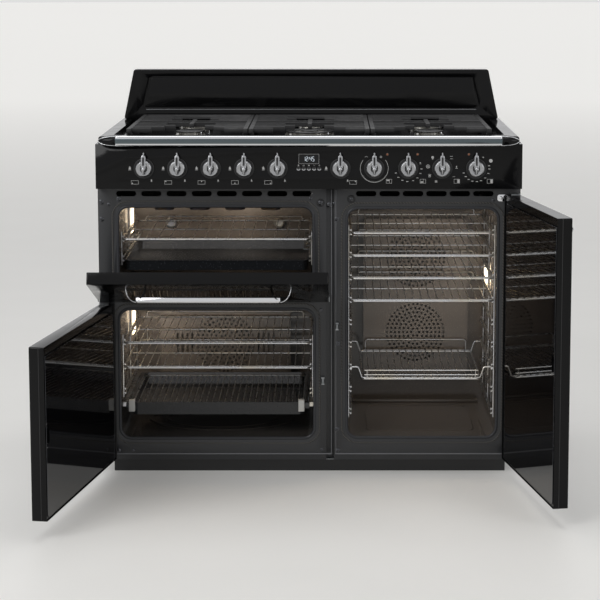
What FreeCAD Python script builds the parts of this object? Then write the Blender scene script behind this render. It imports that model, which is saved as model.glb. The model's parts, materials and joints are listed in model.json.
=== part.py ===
"""Freestanding 110 cm range cooker with a gas hob and three oven compartments.

Frame: millimetres, +Z up, the front faces -Y, +X is the user's right.  The origin is on the floor, at the
centre of the body's footprint.  The doors stand open, as at rest.
"""
import FreeCAD
import Part
import math
import os

# ---- driving dimensions: body ----
BODY_WIDTH = 1100.0
BODY_DEPTH = 600.0
WORKTOP_HEIGHT = 900.0
PLINTH_HEIGHT = 38.0
PLINTH_SETBACK = 70.0
PLINTH_SHEET = 3.0
PAN_LIP = 25.0
SHEET = 1.5
FRAME_SETBACK = 40.0            # from the panel's face back to the front frames
PANEL_HEIGHT = 116.0
PANEL_TOP_DROP = 20.0           # from the worktop down to the panel's top
PART_GAP = 0.3                  # between sheet pieces that meet edge to face
FOOT_RADIUS = 20.0
FOOT_HEIGHT = 8.0
FOOT_STUD_RADIUS = 5.0
FOOT_INSET = 90.0
LOUVRE = (60.0, 6.0)            # length and height of a slot in the back panel
LOUVRE_PITCH = (90.0, 20.0)
LOUVRE_COUNT = (9, 8)
LOUVRE_DROP = 320.0             # panel top down to the lowest row

# ---- driving dimensions: hob, splashback and rail ----
HOB_INSET = 7.5                 # body side to the worktop's edge
HOB_EDGE_RADIUS = 7.0
WELL_DEPTH = 12.0
WELL_RADIUS = 24.0
WELL_SIDE = 36.0                # rim left beside the well
WELL_FRONT = 34.0
WELL_BACK = 58.0
BURNER_ROW_FRONT = 136.0        # well's front edge to the front burners
BURNER_ROW_BACK = 132.0
BURNER_RADII = (36.0, 62.0, 36.0, 45.0, 30.0, 45.0)   # front row, then back row, from the left
BURNER_LEDGE = 4.0              # crown's overhang round its hole
BURNER_HEIGHT = 10.0            # crown above the well's floor
BURNER_CAP = 4.0
BURNER_CUP_DROP = 26.0
SPARK_RADIUS = 2.0
SUPPORT_RISE = 15.0             # bars' top above the worktop
SUPPORT_BAR = 11.0
SUPPORT_BAR_HEIGHT = 12.0
SUPPORT_GAP = 3.0               # between neighbouring grids
SUPPORT_SIDE = 32.5             # well's edge to the outer grids
SUPPORT_FRONT = 16.0
SUPPORT_BACK = 12.0
# step along Y, tip's distance from the burner's centre
FINGERS = ((-90.0, 95.0), (-45.0, 65.0), (0.0, 39.0), (45.0, 65.0))
CROSS_BAR_STEP = 24.0
SPLASH_HEIGHT = 141.0
SPLASH_DEPTH = 44.0
SPLASH_INSET = 9.0              # worktop's edge to the splashback's foot
SPLASH_LEAN = 29.5              # each end's lean over the full height
GROOVE_Z = (27.0, 125.0)        # above the worktop
GROOVE_MARGIN = 45.0            # from the splashback's slanting edge
GROOVE_WIDTH = 8.0
GROOVE_DEPTH = 4.0
GROOVE_RADIUS = 14.0
RAIL_CAP = 45.0
RAIL_HEIGHT = 26.0
RAIL_THICKNESS = 11.0
RAIL_STANDOFF = 24.0            # clear gap behind the rail
RAIL_CENTRE_DROP = 9.5          # below the worktop
RAIL_BEND = 28.0

# ---- driving dimensions: oven openings ----
SEAM_X = (44.6, 64.0)           # channel between the two modules
SEAM_DEPTH = 10.0
LEFT_OVEN_SIDE = 52.0           # body side to the left ovens
TALL_OVEN_SIDE = 58.0
GRILL_SEAM = 34.6               # oven to the seam
MAIN_SEAM = 32.6
TALL_SEAM = 36.0
GRILL_DROP = (258.0, 52.0)      # panel's lower edge down to the oven's floor and roof
TALL_DROP = 56.0
MAIN_FLOOR = 59.0               # body's underside to the oven floor
TALL_FLOOR = 61.0
OVEN_DIVIDER = 65.0             # main oven's roof to the grill oven's floor
CAVITY_GAP = 110.0              # cavity back to the body's back
CAVITY_RADIUS = 28.0
VENT_DROP = 17.0
VENT_HEIGHT = 14.0
VENTS_LEFT = (8, 48.0, 65.5, 52.0)       # count, body side to the first slot, pitch, length
VENTS_RIGHT = (6, 58.0, 61.0, 53.0)      # count, seam to the first slot, pitch, length

# ---- driving dimensions: doors ----
DOOR_SIDE_GAP = 2.0             # body side to door edge
TALL_DOOR_SEAM = 7.0            # seam's edge to the tall door
LEFT_DOOR_SEAM = 6.4            # how far the left doors cover the seam
DOOR_TOP_DROP = 16.0            # below the control panel
DOOR_FLOOR = 8.0                # above the body's underside
FLAP_HEIGHT = 281.0
DOOR_GAP = 6.0                  # main door to flap
DOOR_DEPTH = 36.0
FLAP_DEPTH = 30.0
DOOR_OPEN = 99.6                # degrees
FLAP_OPEN = 71.0
HINGE_INSET = 13.0              # door edge to the upright hinge pin
HINGE_BACK = 10.0               # door face to the upright hinge pin
FLAP_PIN_UP = 7.0               # flap's lower edge to its hinge pin
FLAP_PIN_BACK = 7.0
HINGE_PIN_RADIUS = 4.0
PIN_DEPTH = 10.0
RUNNING_GAP = 0.05
BUSH_RADIUS = 6.5
BUSH_LENGTH = 12.0
GLASS = 4.0
GLASS_PROUD = 1.5
GLASS_EDGE = 6.0                # door edge to the inner glass
GLASS_HINGE_EDGE = 28.0
GLASS_LOW = 9.0
GLASS_HIGH = 23.0
WINDOW_MARGIN = 95.0            # outer skin beside and over its window
WINDOW_BELOW = 71.0
WINDOW_LAP = 12.0
HANDLE_DROP = 43.0              # from the door's top
HANDLE_MARGIN = 92.0            # from the door's edge to the handle's end
HANDLE_ARM = 28.0               # length of each end piece along the bar
HANDLE_POST = 15.4              # part of the end piece that reaches the door
HANDLE_HEIGHT = 14.0
HANDLE_THICKNESS = 10.0
HANDLE_STANDOFF = 30.0
CATCH_OFFSET = 9.0              # seam to roller catch
CATCH_UP = (205.0, 351.0)       # door's lower edge to the catch: main door, tall door
CATCH_REACH = 12.0
CATCH_ROLLER = 4.0
NOTCH = (9.0, 17.0)             # half sizes of the opening for the catch

# ---- driving dimensions: racks, rungs and trays ----
LADDER_ROD = 2.2
LADDER_OFF = 3.6                # upright rod's axis from the wall
LADDER_FRONT = 34.0             # front frame to the rungs' ends
LADDER_BACK = 40.0
LADDER_SPARE = 12.0             # uprights above and below the rungs
RUNG_ROD = 2.0
LINK_ROD = 1.7
RUNG_OFF = 9.5
RUNG_PAIR = 11.5
RACK_ROD = 2.7
RACK_CLEARANCE = 0.3
RACK_BEND = 12.0
WIRE_ROD = 1.3
WIRE_SINK = 0.9                 # how far a wire is welded into the frame
CRANK_ROD = 2.4
STOP_ROD = 1.9
STOP_INSET = 24.0
WIRE_PITCH = 20.0
GRILL_WIRE_PITCH = 30.0
BASKET_WIRE_PITCH = 18.0
RACK_FRONT = 22.0               # front frame to the racks' front rod
RACK_BACK = 12.0                # fan cover to the racks' back rod
TALL_FIRST_RUNG = 56.0          # oven floor to the lowest rung
TALL_RUNG_PITCH = 60.0
TALL_TOP_ROOM = 73.0            # roof to the highest rung
TALL_RACKS = 4                  # on the highest rungs
BASKET_RUNG = 2
BASKET_DROP = 29.0
BASKET_INSET = 30.0
BASKET_RAILS = (11.0, 23.0)
MAIN_FIRST_RUNG = 22.0          # tray rim to the lowest rung
MAIN_RUNG_PITCH = 66.0
MAIN_RUNG_COUNT = 3
GRILL_FIRST_RUNG = 59.0
GRILL_RUNG_PITCH = 53.0
GRILL_RUNG_COUNT = 2
RACK_STOP = 16.0
HIGH_STOP = 31.0
TRAY_DEPTH = 27.0
TRAY_SHEET = 1.2
TRAY_RADIUS = 18.0
TRAY_END_GAP = 4.0
GRILL_TRAY_LIP = 6.0
GRILL_TRAY_GAP = 5.0            # rung's axis to the bowl
MAIN_TRAY_RIM = 91.0            # above the oven floor
MAIN_TRAY_DEPTH = 34.0
MAIN_TRAY_INSET = 26.0
MAIN_TRAY_LIP = 8.0
RUNNER_OFF = 14.0
RUNNER_WIDTH = 6.0
RUNNER_HEIGHT = 15.0
RUNNER_BLOCK = 15.0
FIXED_RAIL = (2.0, 13.0)        # near and far faces from the oven wall

# ---- driving dimensions: fans and elements ----
TALL_FAN_SPREAD = 107.0
TALL_FAN_RISE = 4.5
FAN_RADIUS = 72.0
FAN_DEPTH = 16.0
FAN_DISC = 1.2
FAN_BACK = 6.0                  # disc to the cavity's back wall
FAN_BLADES = 12
FAN_HUB = 8.8
SHAFT_RADIUS = 4.0
SHAFT_REACH = 30.0              # into the motor
MOTOR_RADIUS = 38.0
MOTOR_LENGTH = 62.0
MOTOR_BORE = 36.0
COVER_DEPTH = 32.0
COVER_RADIUS = 12.0
MAIN_COVER_MARGIN = (70.0, 27.0)         # oven wall to the cover, beside and above or below
TALL_COVER_MARGIN = (48.0, 82.0)
HOLE_RINGS = 7
HOLE_RING_PITCH = 11.5
HOLE_RADIUS = 3.2
COVER_SLOTS = 4
COVER_SLOT_PITCH = 14.0
COVER_SLOT = (3.0, 30.0)        # half sizes
ELEMENT_ROD = 3.3
ELEMENT_BACK = 16.0             # ring to the cavity's back wall
ELEMENT_LEG = 9.0
RING_ELEMENT = 88.0
GRILL_ELEMENT_DROP = 14.0
GRILL_ELEMENT_MARGIN = (90.0, 70.0, 80.0)   # from the side walls, the front frame and the back wall
GRILL_RUNS = 8

# ---- driving dimensions: controls and gas ----
KNOB_UP = 53.0                  # panel's lower edge to the knobs
KNOB_FIRST = 81.0               # centre to the nearest knob on each side
KNOB_PITCH = (86.0, 87.5)       # left and right of the centre
KNOB_COUNT = 5                  # on each side
GAS_KNOB_COUNT = 6
KNOB_SKIRT = 27.0
KNOB_RADIUS = 20.5
KNOB_TAPER = 2.0
KNOB_GAP = 0.6
SKIRT_HEIGHT = 3.0
KNOB_HEIGHT = 13.0
LEVER_WIDTH = 13.0
LEVER_REACH = 42.0
LEVER_TAIL = 22.0
LEVER_HEIGHT = 14.0
SPINDLE_RADIUS = 3.0
SPINDLE_HOLE = 5.0
SPINDLE_DEPTH = 14.0            # into the tap
TAP_BORE = 16.0
TAP_RADIUS = 11.0
SWITCH_RADIUS = 17.0
TAP_FRONT = 8.0                 # panel face to tap body
TAP_BACK = 38.0
PIPE_RADIUS = 8.0
PIPE_BACK = 50.0                # panel face to the gas rail's axis
PIPE_BEND = 30.0
PIPE_SIDE = 35.0                # body side to the pipe that leads back
PIPE_SPARE = 20.0
INLET_RADIUS = 10.48            # half-inch pipe thread
INLET_LENGTH = 24.0
INLET_RECESS = 2.0
INLET_ACCESS = 24.0
GLAND_RADIUS = 10.0
GLAND_WALL = 6.0
GLAND_LENGTH = 5.0
GLAND_SIDE = 120.0
GLAND_UP = 82.0
DISPLAY_UP = 25.0               # above the knobs
DISPLAY_SIZE = (52.0, 26.0)
DISPLAY_DEPTH = 8.0
BEZEL = (2.0, 1.5)              # width and height of the rim
MODULE_HALF_WIDTH = 46.0
MODULE_DEPTH = (14.0, 34.0)     # behind the panel's face
MODULE_BELOW = 20.0
MODULE_ABOVE = 24.0
BUTTON_PITCH = 13.4
BUTTON_COUNT = 5
BUTTON_RADIUS = 5.0
BUTTON_GAP = 0.3
BUTTON_PROUD = 2.2
BUTTON_STEM = 9.0
COLLAR = (1.2, 1.5)             # overhang and thickness
COLLAR_GAP = 0.1

# ---- derived places ----
HALF_WIDTH = BODY_WIDTH / 2
FRONT = -BODY_DEPTH / 2
BACK = BODY_DEPTH / 2
INSIDE = HALF_WIDTH - SHEET
FRAME_FRONT = FRONT + FRAME_SETBACK
FRAME_BACK = FRAME_FRONT + SHEET
PANEL_TOP = WORKTOP_HEIGHT - PANEL_TOP_DROP
PANEL_BOTTOM = PANEL_TOP - PANEL_HEIGHT
FRAME_Z = (PLINTH_HEIGHT, PANEL_BOTTOM - 2 * SHEET + 1)
CAVITY_BACK = BACK - CAVITY_GAP
GRILL_X = (-HALF_WIDTH + LEFT_OVEN_SIDE, SEAM_X[0] - GRILL_SEAM)
GRILL_Z = (PANEL_BOTTOM - GRILL_DROP[0], PANEL_BOTTOM - GRILL_DROP[1])
MAIN_X = (-HALF_WIDTH + LEFT_OVEN_SIDE, SEAM_X[0] - MAIN_SEAM)
MAIN_Z = (PLINTH_HEIGHT + MAIN_FLOOR, GRILL_Z[0] - OVEN_DIVIDER)
TALL_X = (SEAM_X[1] + TALL_SEAM, HALF_WIDTH - TALL_OVEN_SIDE)
TALL_Z = (PLINTH_HEIGHT + TALL_FLOOR, PANEL_BOTTOM - TALL_DROP)
DOOR_TOP = PANEL_BOTTOM - DOOR_TOP_DROP
DOOR_BOTTOM = PLINTH_HEIGHT + DOOR_FLOOR
TALL_DOOR_X = (SEAM_X[1] - TALL_DOOR_SEAM, HALF_WIDTH - DOOR_SIDE_GAP)
TALL_DOOR_Z = (DOOR_BOTTOM, DOOR_TOP)
FLAP_X = (-HALF_WIDTH + DOOR_SIDE_GAP + 1, SEAM_X[0] + LEFT_DOOR_SEAM)
FLAP_Z = (DOOR_TOP - FLAP_HEIGHT, DOOR_TOP)
MAIN_DOOR_X = (-HALF_WIDTH + DOOR_SIDE_GAP, SEAM_X[0] + LEFT_DOOR_SEAM)
MAIN_DOOR_Z = (DOOR_BOTTOM, FLAP_Z[0] - DOOR_GAP)
TALL_PIVOT = FreeCAD.Vector(TALL_DOOR_X[1] - HINGE_INSET, FRONT + HINGE_BACK, 0)
MAIN_PIVOT = FreeCAD.Vector(MAIN_DOOR_X[0] + HINGE_INSET, FRONT + HINGE_BACK, 0)
FLAP_PIVOT = FreeCAD.Vector(0, FRONT + FLAP_PIN_BACK, FLAP_Z[0] + FLAP_PIN_UP)
HOB_X = (-HALF_WIDTH + HOB_INSET, HALF_WIDTH - HOB_INSET)
WELL_X = (HOB_X[0] + WELL_SIDE, HOB_X[1] - WELL_SIDE)
WELL_Y = (FRONT + WELL_FRONT, BACK - WELL_BACK)
WELL_FLOOR = WORKTOP_HEIGHT - WELL_DEPTH
SUPPORT_Y = (WELL_Y[0] + SUPPORT_FRONT, WELL_Y[1] - SUPPORT_BACK)
BURNER_PITCH = (WELL_X[1] - WELL_X[0] - 2 * SUPPORT_SIDE + SUPPORT_GAP) / 3
BURNER_ROWS = (WELL_Y[0] + BURNER_ROW_FRONT, WELL_Y[1] - BURNER_ROW_BACK)
RACK_Y = (FRAME_FRONT + RACK_FRONT, CAVITY_BACK - COVER_DEPTH - RACK_BACK)
LADDER_Y = (FRAME_FRONT + LADDER_FRONT, CAVITY_BACK - LADDER_BACK)
TRAY_Y = (RACK_Y[0] + TRAY_END_GAP, RACK_Y[1] - TRAY_END_GAP)
TRAY_RIM = MAIN_Z[0] + MAIN_TRAY_RIM
TALL_RUNG_ROOM = TALL_Z[1] - TALL_Z[0] - TALL_FIRST_RUNG - TALL_TOP_ROOM
TALL_RUNGS = [TALL_Z[0] + TALL_FIRST_RUNG + TALL_RUNG_PITCH * i
              for i in range(int(TALL_RUNG_ROOM / TALL_RUNG_PITCH) + 1)]
MAIN_RUNGS = [TRAY_RIM + MAIN_FIRST_RUNG + MAIN_RUNG_PITCH * i for i in range(MAIN_RUNG_COUNT)]
GRILL_RUNGS = [GRILL_Z[0] + GRILL_FIRST_RUNG + GRILL_RUNG_PITCH * i for i in range(GRILL_RUNG_COUNT)]
MAIN_FAN = (sum(MAIN_X) / 2, sum(MAIN_Z) / 2)
TALL_FANS = [(sum(TALL_X) / 2, sum(TALL_Z) / 2 + TALL_FAN_RISE + side * TALL_FAN_SPREAD) for side in (1, -1)]
FAN_PLACES = [MAIN_FAN] + TALL_FANS
KNOB_Z = PANEL_BOTTOM + KNOB_UP
DISPLAY_Z = KNOB_Z + DISPLAY_UP
KNOB_X = sorted([-KNOB_FIRST - KNOB_PITCH[0] * i for i in range(KNOB_COUNT)]
                + [KNOB_FIRST + KNOB_PITCH[1] * i for i in range(KNOB_COUNT)])
GAS_KNOBS = KNOB_X[:GAS_KNOB_COUNT]
OVEN_KNOBS = KNOB_X[GAS_KNOB_COUNT:]
PIPE_TURN_X = HALF_WIDTH - PIPE_SIDE
CATCHES = ((SEAM_X[0] - CATCH_OFFSET, DOOR_BOTTOM + CATCH_UP[0]),
           (SEAM_X[1] + CATCH_OFFSET, DOOR_BOTTOM + CATCH_UP[1]))
X_AXIS = FreeCAD.Vector(1, 0, 0)
Y_AXIS = FreeCAD.Vector(0, 1, 0)
Z_AXIS = FreeCAD.Vector(0, 0, 1)
Vector = FreeCAD.Vector


# ---- shape helpers ----
def box(x, y, z):
    """Block between the low and high ends given for each axis."""
    return Part.makeBox(x[1] - x[0], y[1] - y[0], z[1] - z[0], Vector(x[0], y[0], z[0]))


def grown(span, by):
    return (span[0] - by, span[1] + by)


def edges_along(shape, axis):
    """Straight edges that run parallel to the axis."""
    return [edge for edge in shape.Edges
            if isinstance(edge.Curve, Part.Line) and edge.Curve.Direction.cross(axis).Length < 1e-6]


def rounded_box(x, y, z, radius, axis=Y_AXIS):
    """Block whose four edges along the axis are round."""
    block = box(x, y, z)
    return block.makeFillet(radius, edges_along(block, axis))


def rounded_lid(x, y, z, radius):
    """Block with round upright edges and a round top edge."""
    block = box(x, y, z)
    top = [edge for edge in block.Edges if edge.BoundBox.ZMin > z[1] - 1e-6]
    return block.makeFillet(radius, edges_along(block, Z_AXIS) + top)


def rod(start, end, radius):
    way = end - start
    return Part.makeCylinder(radius, way.Length, start, way)


def fuse(shapes):
    return shapes[0].multiFuse(shapes[1:]) if len(shapes) > 1 else shapes[0]


def cut(shape, tools):
    return shape.cut(Part.makeCompound(tools))


def bent_rod(points, bend, radius):
    """Round bar through the points, with an arc of the bend radius at each inner point."""
    edges = []
    start = points[0]
    for before, corner, after in zip(points, points[1:], points[2:]):
        into = (corner - before).normalize()
        out = (after - corner).normalize()
        half_turn = into.getAngle(out) / 2
        setback = bend * math.tan(half_turn)
        arc_start = corner - into * setback
        arc_end = corner + out * setback
        middle = (out - into).normalize() * (bend / math.cos(half_turn) - bend) + corner
        edges.append(Part.LineSegment(start, arc_start).toShape())
        edges.append(Part.Arc(arc_start, middle, arc_end).toShape())
        start = arc_end
    edges.append(Part.LineSegment(start, points[-1]).toShape())
    profile = Part.Wire([Part.makeCircle(radius, points[0], points[1] - points[0])])
    return Part.Wire(edges).makePipeShell([profile], True, False)


def rod_frame(x, y, z, bend, radius):
    """Closed rectangular loop of bar, lying flat at height z."""
    middle = (x[0] + x[1]) / 2
    halves = []
    for side in (x[0], x[1]):
        halves.append(bent_rod([Vector(middle, y[0], z), Vector(side, y[0], z),
                                Vector(side, y[1], z), Vector(middle, y[1], z)], bend, radius))
    return fuse(halves)


def trapezoid(y, z, half_bottom, half_top, radius):
    """Upright plate, wider at the bottom, with round corners."""
    corners = [Vector(-half_bottom, y[0], z[0]), Vector(half_bottom, y[0], z[0]),
               Vector(half_top, y[0], z[1]), Vector(-half_top, y[0], z[1])]
    plate = Part.Face(Part.makePolygon(corners + corners[:1])).extrude(Vector(0, y[1] - y[0], 0))
    return plate.makeFillet(radius, edges_along(plate, Y_AXIS))


def export(node, *solids):
    Part.makeCompound(list(solids)).exportStep("parts/" + node + ".step")


# ---- casing ----
def casing_panels():
    """Two side panels and the back panel, which has the gas and mains entries."""
    sides = [box((s * HALF_WIDTH, s * HALF_WIDTH + SHEET) if s < 0 else (INSIDE, HALF_WIDTH),
                 (FRAME_FRONT, BACK - SHEET), (PLINTH_HEIGHT, PANEL_TOP)) for s in (-1, 1)]
    back = box((-HALF_WIDTH, HALF_WIDTH), (BACK - SHEET, BACK), (PLINTH_HEIGHT, PANEL_TOP))
    gland = Vector(-HALF_WIDTH + GLAND_SIDE, BACK - GLAND_LENGTH, PLINTH_HEIGHT + GLAND_UP)
    back = back.fuse(Part.makeCylinder(GLAND_RADIUS + GLAND_WALL, GLAND_LENGTH, gland, Y_AXIS))
    holes = [Part.makeCylinder(GLAND_RADIUS, GLAND_LENGTH, gland, Y_AXIS),
             Part.makeCylinder(INLET_ACCESS, SHEET, Vector(PIPE_TURN_X, BACK - SHEET, KNOB_Z), Y_AXIS)]
    for column in range(LOUVRE_COUNT[0]):
        for row in range(LOUVRE_COUNT[1]):
            x = (column - (LOUVRE_COUNT[0] - 1) / 2) * LOUVRE_PITCH[0]
            z = PANEL_TOP - LOUVRE_DROP + row * LOUVRE_PITCH[1]
            holes.append(rounded_box(grown((x, x), LOUVRE[0] / 2), (BACK - SHEET, BACK),
                                     grown((z, z), LOUVRE[1] / 2), LOUVRE[1] / 2 - 0.1))
    return sides + [cut(back, holes)]


def base_pan():
    """Tray under the ovens, turned up on three sides."""
    x = grown((-INSIDE, INSIDE), -PART_GAP)
    y = (FRAME_BACK, BACK - SHEET - PART_GAP)
    z = (PLINTH_HEIGHT, PLINTH_HEIGHT + PAN_LIP)
    hollow = box(grown(x, -SHEET), (y[0] - SHEET, y[1] - SHEET), (z[0] + SHEET, z[1] + SHEET))
    holes = [Part.makeCylinder(FOOT_STUD_RADIUS + PART_GAP, SHEET, place, Z_AXIS)
             for place in foot_places(PLINTH_HEIGHT)]
    return cut(box(x, y, z).cut(hollow), holes)


def foot_places(height):
    x = HALF_WIDTH - FOOT_INSET
    return [Vector(sx * x, y, height) for sx in (-1, 1)
            for y in (FRONT + PLINTH_SETBACK + FOOT_INSET / 2, BACK - FOOT_INSET)]


def levelling_feet():
    """Four round feet on threaded studs."""
    feet = []
    for place in foot_places(0):
        disc = Part.makeCone(FOOT_RADIUS, FOOT_RADIUS * 0.8, FOOT_HEIGHT, place)
        stud = Part.makeCylinder(FOOT_STUD_RADIUS, PLINTH_HEIGHT + 12, place)
        nut = Part.makeCylinder(FOOT_STUD_RADIUS * 1.8, PLINTH_HEIGHT - 26, place + Vector(0, 0, 26))
        feet.append(fuse([disc, stud, nut]))
    return feet


def plinth():
    """Kick board that runs along the front and both sides."""
    x = grown((-HALF_WIDTH, HALF_WIDTH), -FOOT_INSET / 3)
    y = (FRONT + PLINTH_SETBACK, BACK - PLINTH_SHEET)
    hollow = box(grown(x, -PLINTH_SHEET), (y[0] + PLINTH_SHEET, y[1] + PLINTH_SHEET), (0, PLINTH_HEIGHT))
    return box(x, y, (0, PLINTH_HEIGHT)).cut(hollow)


def vent_slots(start, vents):
    count, first, pitch, length = vents
    first += start
    z = grown((PANEL_BOTTOM - VENT_DROP, PANEL_BOTTOM - VENT_DROP), VENT_HEIGHT / 2)
    return [rounded_box((first + i * pitch, first + i * pitch + length), (FRAME_FRONT, FRAME_BACK), z,
                        VENT_HEIGHT / 2 - 0.1) for i in range(count)]


def front_frame(x, openings, slots):
    """Enamelled front sheet of one module, with its oven openings and cooling slots."""
    depth = (FRAME_FRONT, FRAME_BACK)
    holes = [rounded_box(ox, depth, oz, CAVITY_RADIUS) for ox, oz in openings]
    return cut(box(x, depth, FRAME_Z), holes + slots)


def front_frame_left():
    """Left front sheet, with the channel that parts the two modules."""
    sheet = front_frame((-INSIDE + PART_GAP, SEAM_X[0]), [(GRILL_X, GRILL_Z), (MAIN_X, MAIN_Z)],
                        vent_slots(-HALF_WIDTH, VENTS_LEFT))
    z = (FRAME_Z[0] + 2 * SHEET, FRAME_Z[1])
    side = box((SEAM_X[0] - SHEET, SEAM_X[0]), (FRAME_FRONT, FRAME_FRONT + SEAM_DEPTH), z)
    web = box((SEAM_X[0] - SHEET, SEAM_X[1]), (FRAME_FRONT + SEAM_DEPTH - SHEET, FRAME_FRONT + SEAM_DEPTH), z)
    return fuse([sheet, side, web]).removeSplitter()


def front_frame_right():
    return front_frame((SEAM_X[1], INSIDE - PART_GAP), [(TALL_X, TALL_Z)], vent_slots(SEAM_X[1], VENTS_RIGHT))


def cavity(x, z, shafts=()):
    """Round-cornered oven box, open at the front, with a hole for each fan shaft."""
    outer = rounded_box(grown(x, SHEET), (FRAME_BACK, CAVITY_BACK + SHEET), grown(z, SHEET),
                        CAVITY_RADIUS + SHEET)
    inner = rounded_box(x, (FRAME_BACK - 1, CAVITY_BACK), z, CAVITY_RADIUS)
    holes = [Part.makeCylinder(SHAFT_RADIUS * 1.5, SHEET, Vector(fx, CAVITY_BACK, fz), Y_AXIS)
             for fx, fz in shafts]
    return cut(outer, [inner] + holes)


# ---- fans and elements ----
def perforated_cover(x, z, fans):
    """Pressed cover in front of the fans, with rings of round holes before each fan."""
    y = (CAVITY_BACK - COVER_DEPTH, CAVITY_BACK)
    outer = rounded_box(x, y, z, COVER_RADIUS)
    inner = rounded_box(grown(x, -SHEET), (y[0] + SHEET, y[1] + 1), grown(z, -SHEET), COVER_RADIUS - SHEET)
    holes = []
    for fx, fz in fans:
        for ring in range(1, HOLE_RINGS + 1):
            for step in range(6 * ring):
                angle = 2 * math.pi * step / (6 * ring)
                place = Vector(fx + ring * HOLE_RING_PITCH * math.cos(angle), y[0] - 1,
                               fz + ring * HOLE_RING_PITCH * math.sin(angle))
                holes.append(Part.makeCylinder(HOLE_RADIUS, SHEET + 2, place, Y_AXIS))
    return cut(outer.cut(inner), holes)


def cover_slots(fan):
    """Upright slots beside the holes, on each side."""
    y = (CAVITY_BACK - COVER_DEPTH, CAVITY_BACK - COVER_DEPTH + SHEET)
    first = HOLE_RINGS * HOLE_RING_PITCH + COVER_SLOT_PITCH
    places = [fan[0] + side * (first + COVER_SLOT_PITCH * i) for side in (-1, 1) for i in range(COVER_SLOTS)]
    return [rounded_box(grown((x, x), COVER_SLOT[0]), y, grown((fan[1], fan[1]), COVER_SLOT[1]),
                        COVER_SLOT[0] - 0.1) for x in places]


def fan_covers():
    main = perforated_cover(grown(MAIN_X, -MAIN_COVER_MARGIN[0]), grown(MAIN_Z, -MAIN_COVER_MARGIN[1]),
                            [MAIN_FAN])
    tall = perforated_cover(grown(TALL_X, -TALL_COVER_MARGIN[0]), grown(TALL_Z, -TALL_COVER_MARGIN[1]),
                            TALL_FANS)
    return [cut(main, cover_slots(MAIN_FAN)), tall]


def fan(place):
    """Impeller and its shaft: a back disc with upright blades round its edge."""
    fx, fz = place
    back = CAVITY_BACK - FAN_BACK
    front = Vector(fx, back - FAN_DEPTH, fz)
    disc = Part.makeCylinder(FAN_RADIUS, FAN_DISC, Vector(fx, back - FAN_DISC, fz), Y_AXIS)
    shaft = Part.makeCylinder(SHAFT_RADIUS, FAN_DEPTH + FAN_BACK + SHAFT_REACH, front, Y_AXIS)
    hub = Part.makeCylinder(FAN_HUB, FAN_DEPTH, front, Y_AXIS)
    blade = box((fx + FAN_RADIUS * 0.6, fx + FAN_RADIUS), (back - FAN_DEPTH, back - FAN_DISC / 2),
                grown((fz, fz), FAN_DISC / 2))
    blades = []
    for step in range(FAN_BLADES):
        turned = blade.copy()
        turned.rotate(Vector(fx, 0, fz), Y_AXIS, 360 * step / FAN_BLADES)
        blades.append(turned)
    return fuse([disc, shaft, hub] + blades)


def fan_motors():
    """Motor behind each oven's back wall, bored for the fan's shaft."""
    motors = []
    for fx, fz in FAN_PLACES:
        front = CAVITY_BACK + SHEET
        body = Part.makeCylinder(MOTOR_RADIUS, MOTOR_LENGTH, Vector(fx, front, fz), Y_AXIS)
        bore = Part.makeCylinder(SHAFT_RADIUS + RUNNING_GAP, MOTOR_BORE, Vector(fx, front, fz), Y_AXIS)
        motors.append(body.cut(bore))
    return motors


def heating_elements():
    """Serpentine grill element under the roof, and a ring round each fan."""
    z = GRILL_Z[1] - GRILL_ELEMENT_DROP
    side, front_margin, back_margin = GRILL_ELEMENT_MARGIN
    left = GRILL_X[0] + side
    pitch = (GRILL_X[1] - side - left) / (GRILL_RUNS - 1)
    front, back = FRAME_FRONT + front_margin, CAVITY_BACK - back_margin
    path = [Vector(left, CAVITY_BACK, z)]
    for run in range(GRILL_RUNS):
        turn = front if run % 2 == 0 else back
        path += [Vector(left + (run + step) * pitch, turn, z) for step in (0, 1)]
    path = path[:-2] + [Vector(left + (GRILL_RUNS - 1) * pitch, CAVITY_BACK, z)]
    elements = [bent_rod(path, pitch * 0.4, ELEMENT_ROD)]
    for fx, fz in FAN_PLACES:
        ring_y = CAVITY_BACK - ELEMENT_BACK
        ring = Part.makeTorus(RING_ELEMENT, ELEMENT_ROD, Vector(fx, ring_y, fz), Y_AXIS)
        foot = fz - RING_ELEMENT + 0.5
        legs = [Part.makeCylinder(ELEMENT_ROD * 0.9, ELEMENT_BACK, Vector(fx + leg, ring_y, foot), Y_AXIS)
                for leg in (-ELEMENT_LEG, ELEMENT_LEG)]
        elements.append(fuse([ring] + legs))
    return elements


# ---- hob ----
def hob_top():
    """Pressed worktop with a well for the burners."""
    y = (FRONT, BACK)
    z = (PANEL_TOP, WORKTOP_HEIGHT)
    outer = rounded_lid(HOB_X, y, z, HOB_EDGE_RADIUS)
    under = rounded_lid(grown(HOB_X, -SHEET), grown(y, -SHEET), (z[0] - 1, z[1] - SHEET),
                        HOB_EDGE_RADIUS - SHEET)
    well = rounded_box(WELL_X, WELL_Y, (WELL_FLOOR, z[1] + 1), WELL_RADIUS, Z_AXIS)
    tray_block = rounded_box(grown(WELL_X, SHEET), grown(WELL_Y, SHEET), (WELL_FLOOR - SHEET, z[1] + 1),
                             WELL_RADIUS + SHEET, Z_AXIS)
    sheet = outer.cut(under.cut(tray_block)).cut(well)
    holes = [Part.makeCylinder(radius - BURNER_LEDGE, 3 * SHEET, Vector(bx, by, WELL_FLOOR - 2 * SHEET), Z_AXIS)
             for bx, by, radius in burner_places()]
    return cut(sheet, holes)


def burner_places():
    places = []
    for row, by in enumerate(BURNER_ROWS):
        for column in range(3):
            places.append(((column - 1) * BURNER_PITCH, by, BURNER_RADII[3 * row + column]))
    return places


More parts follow.
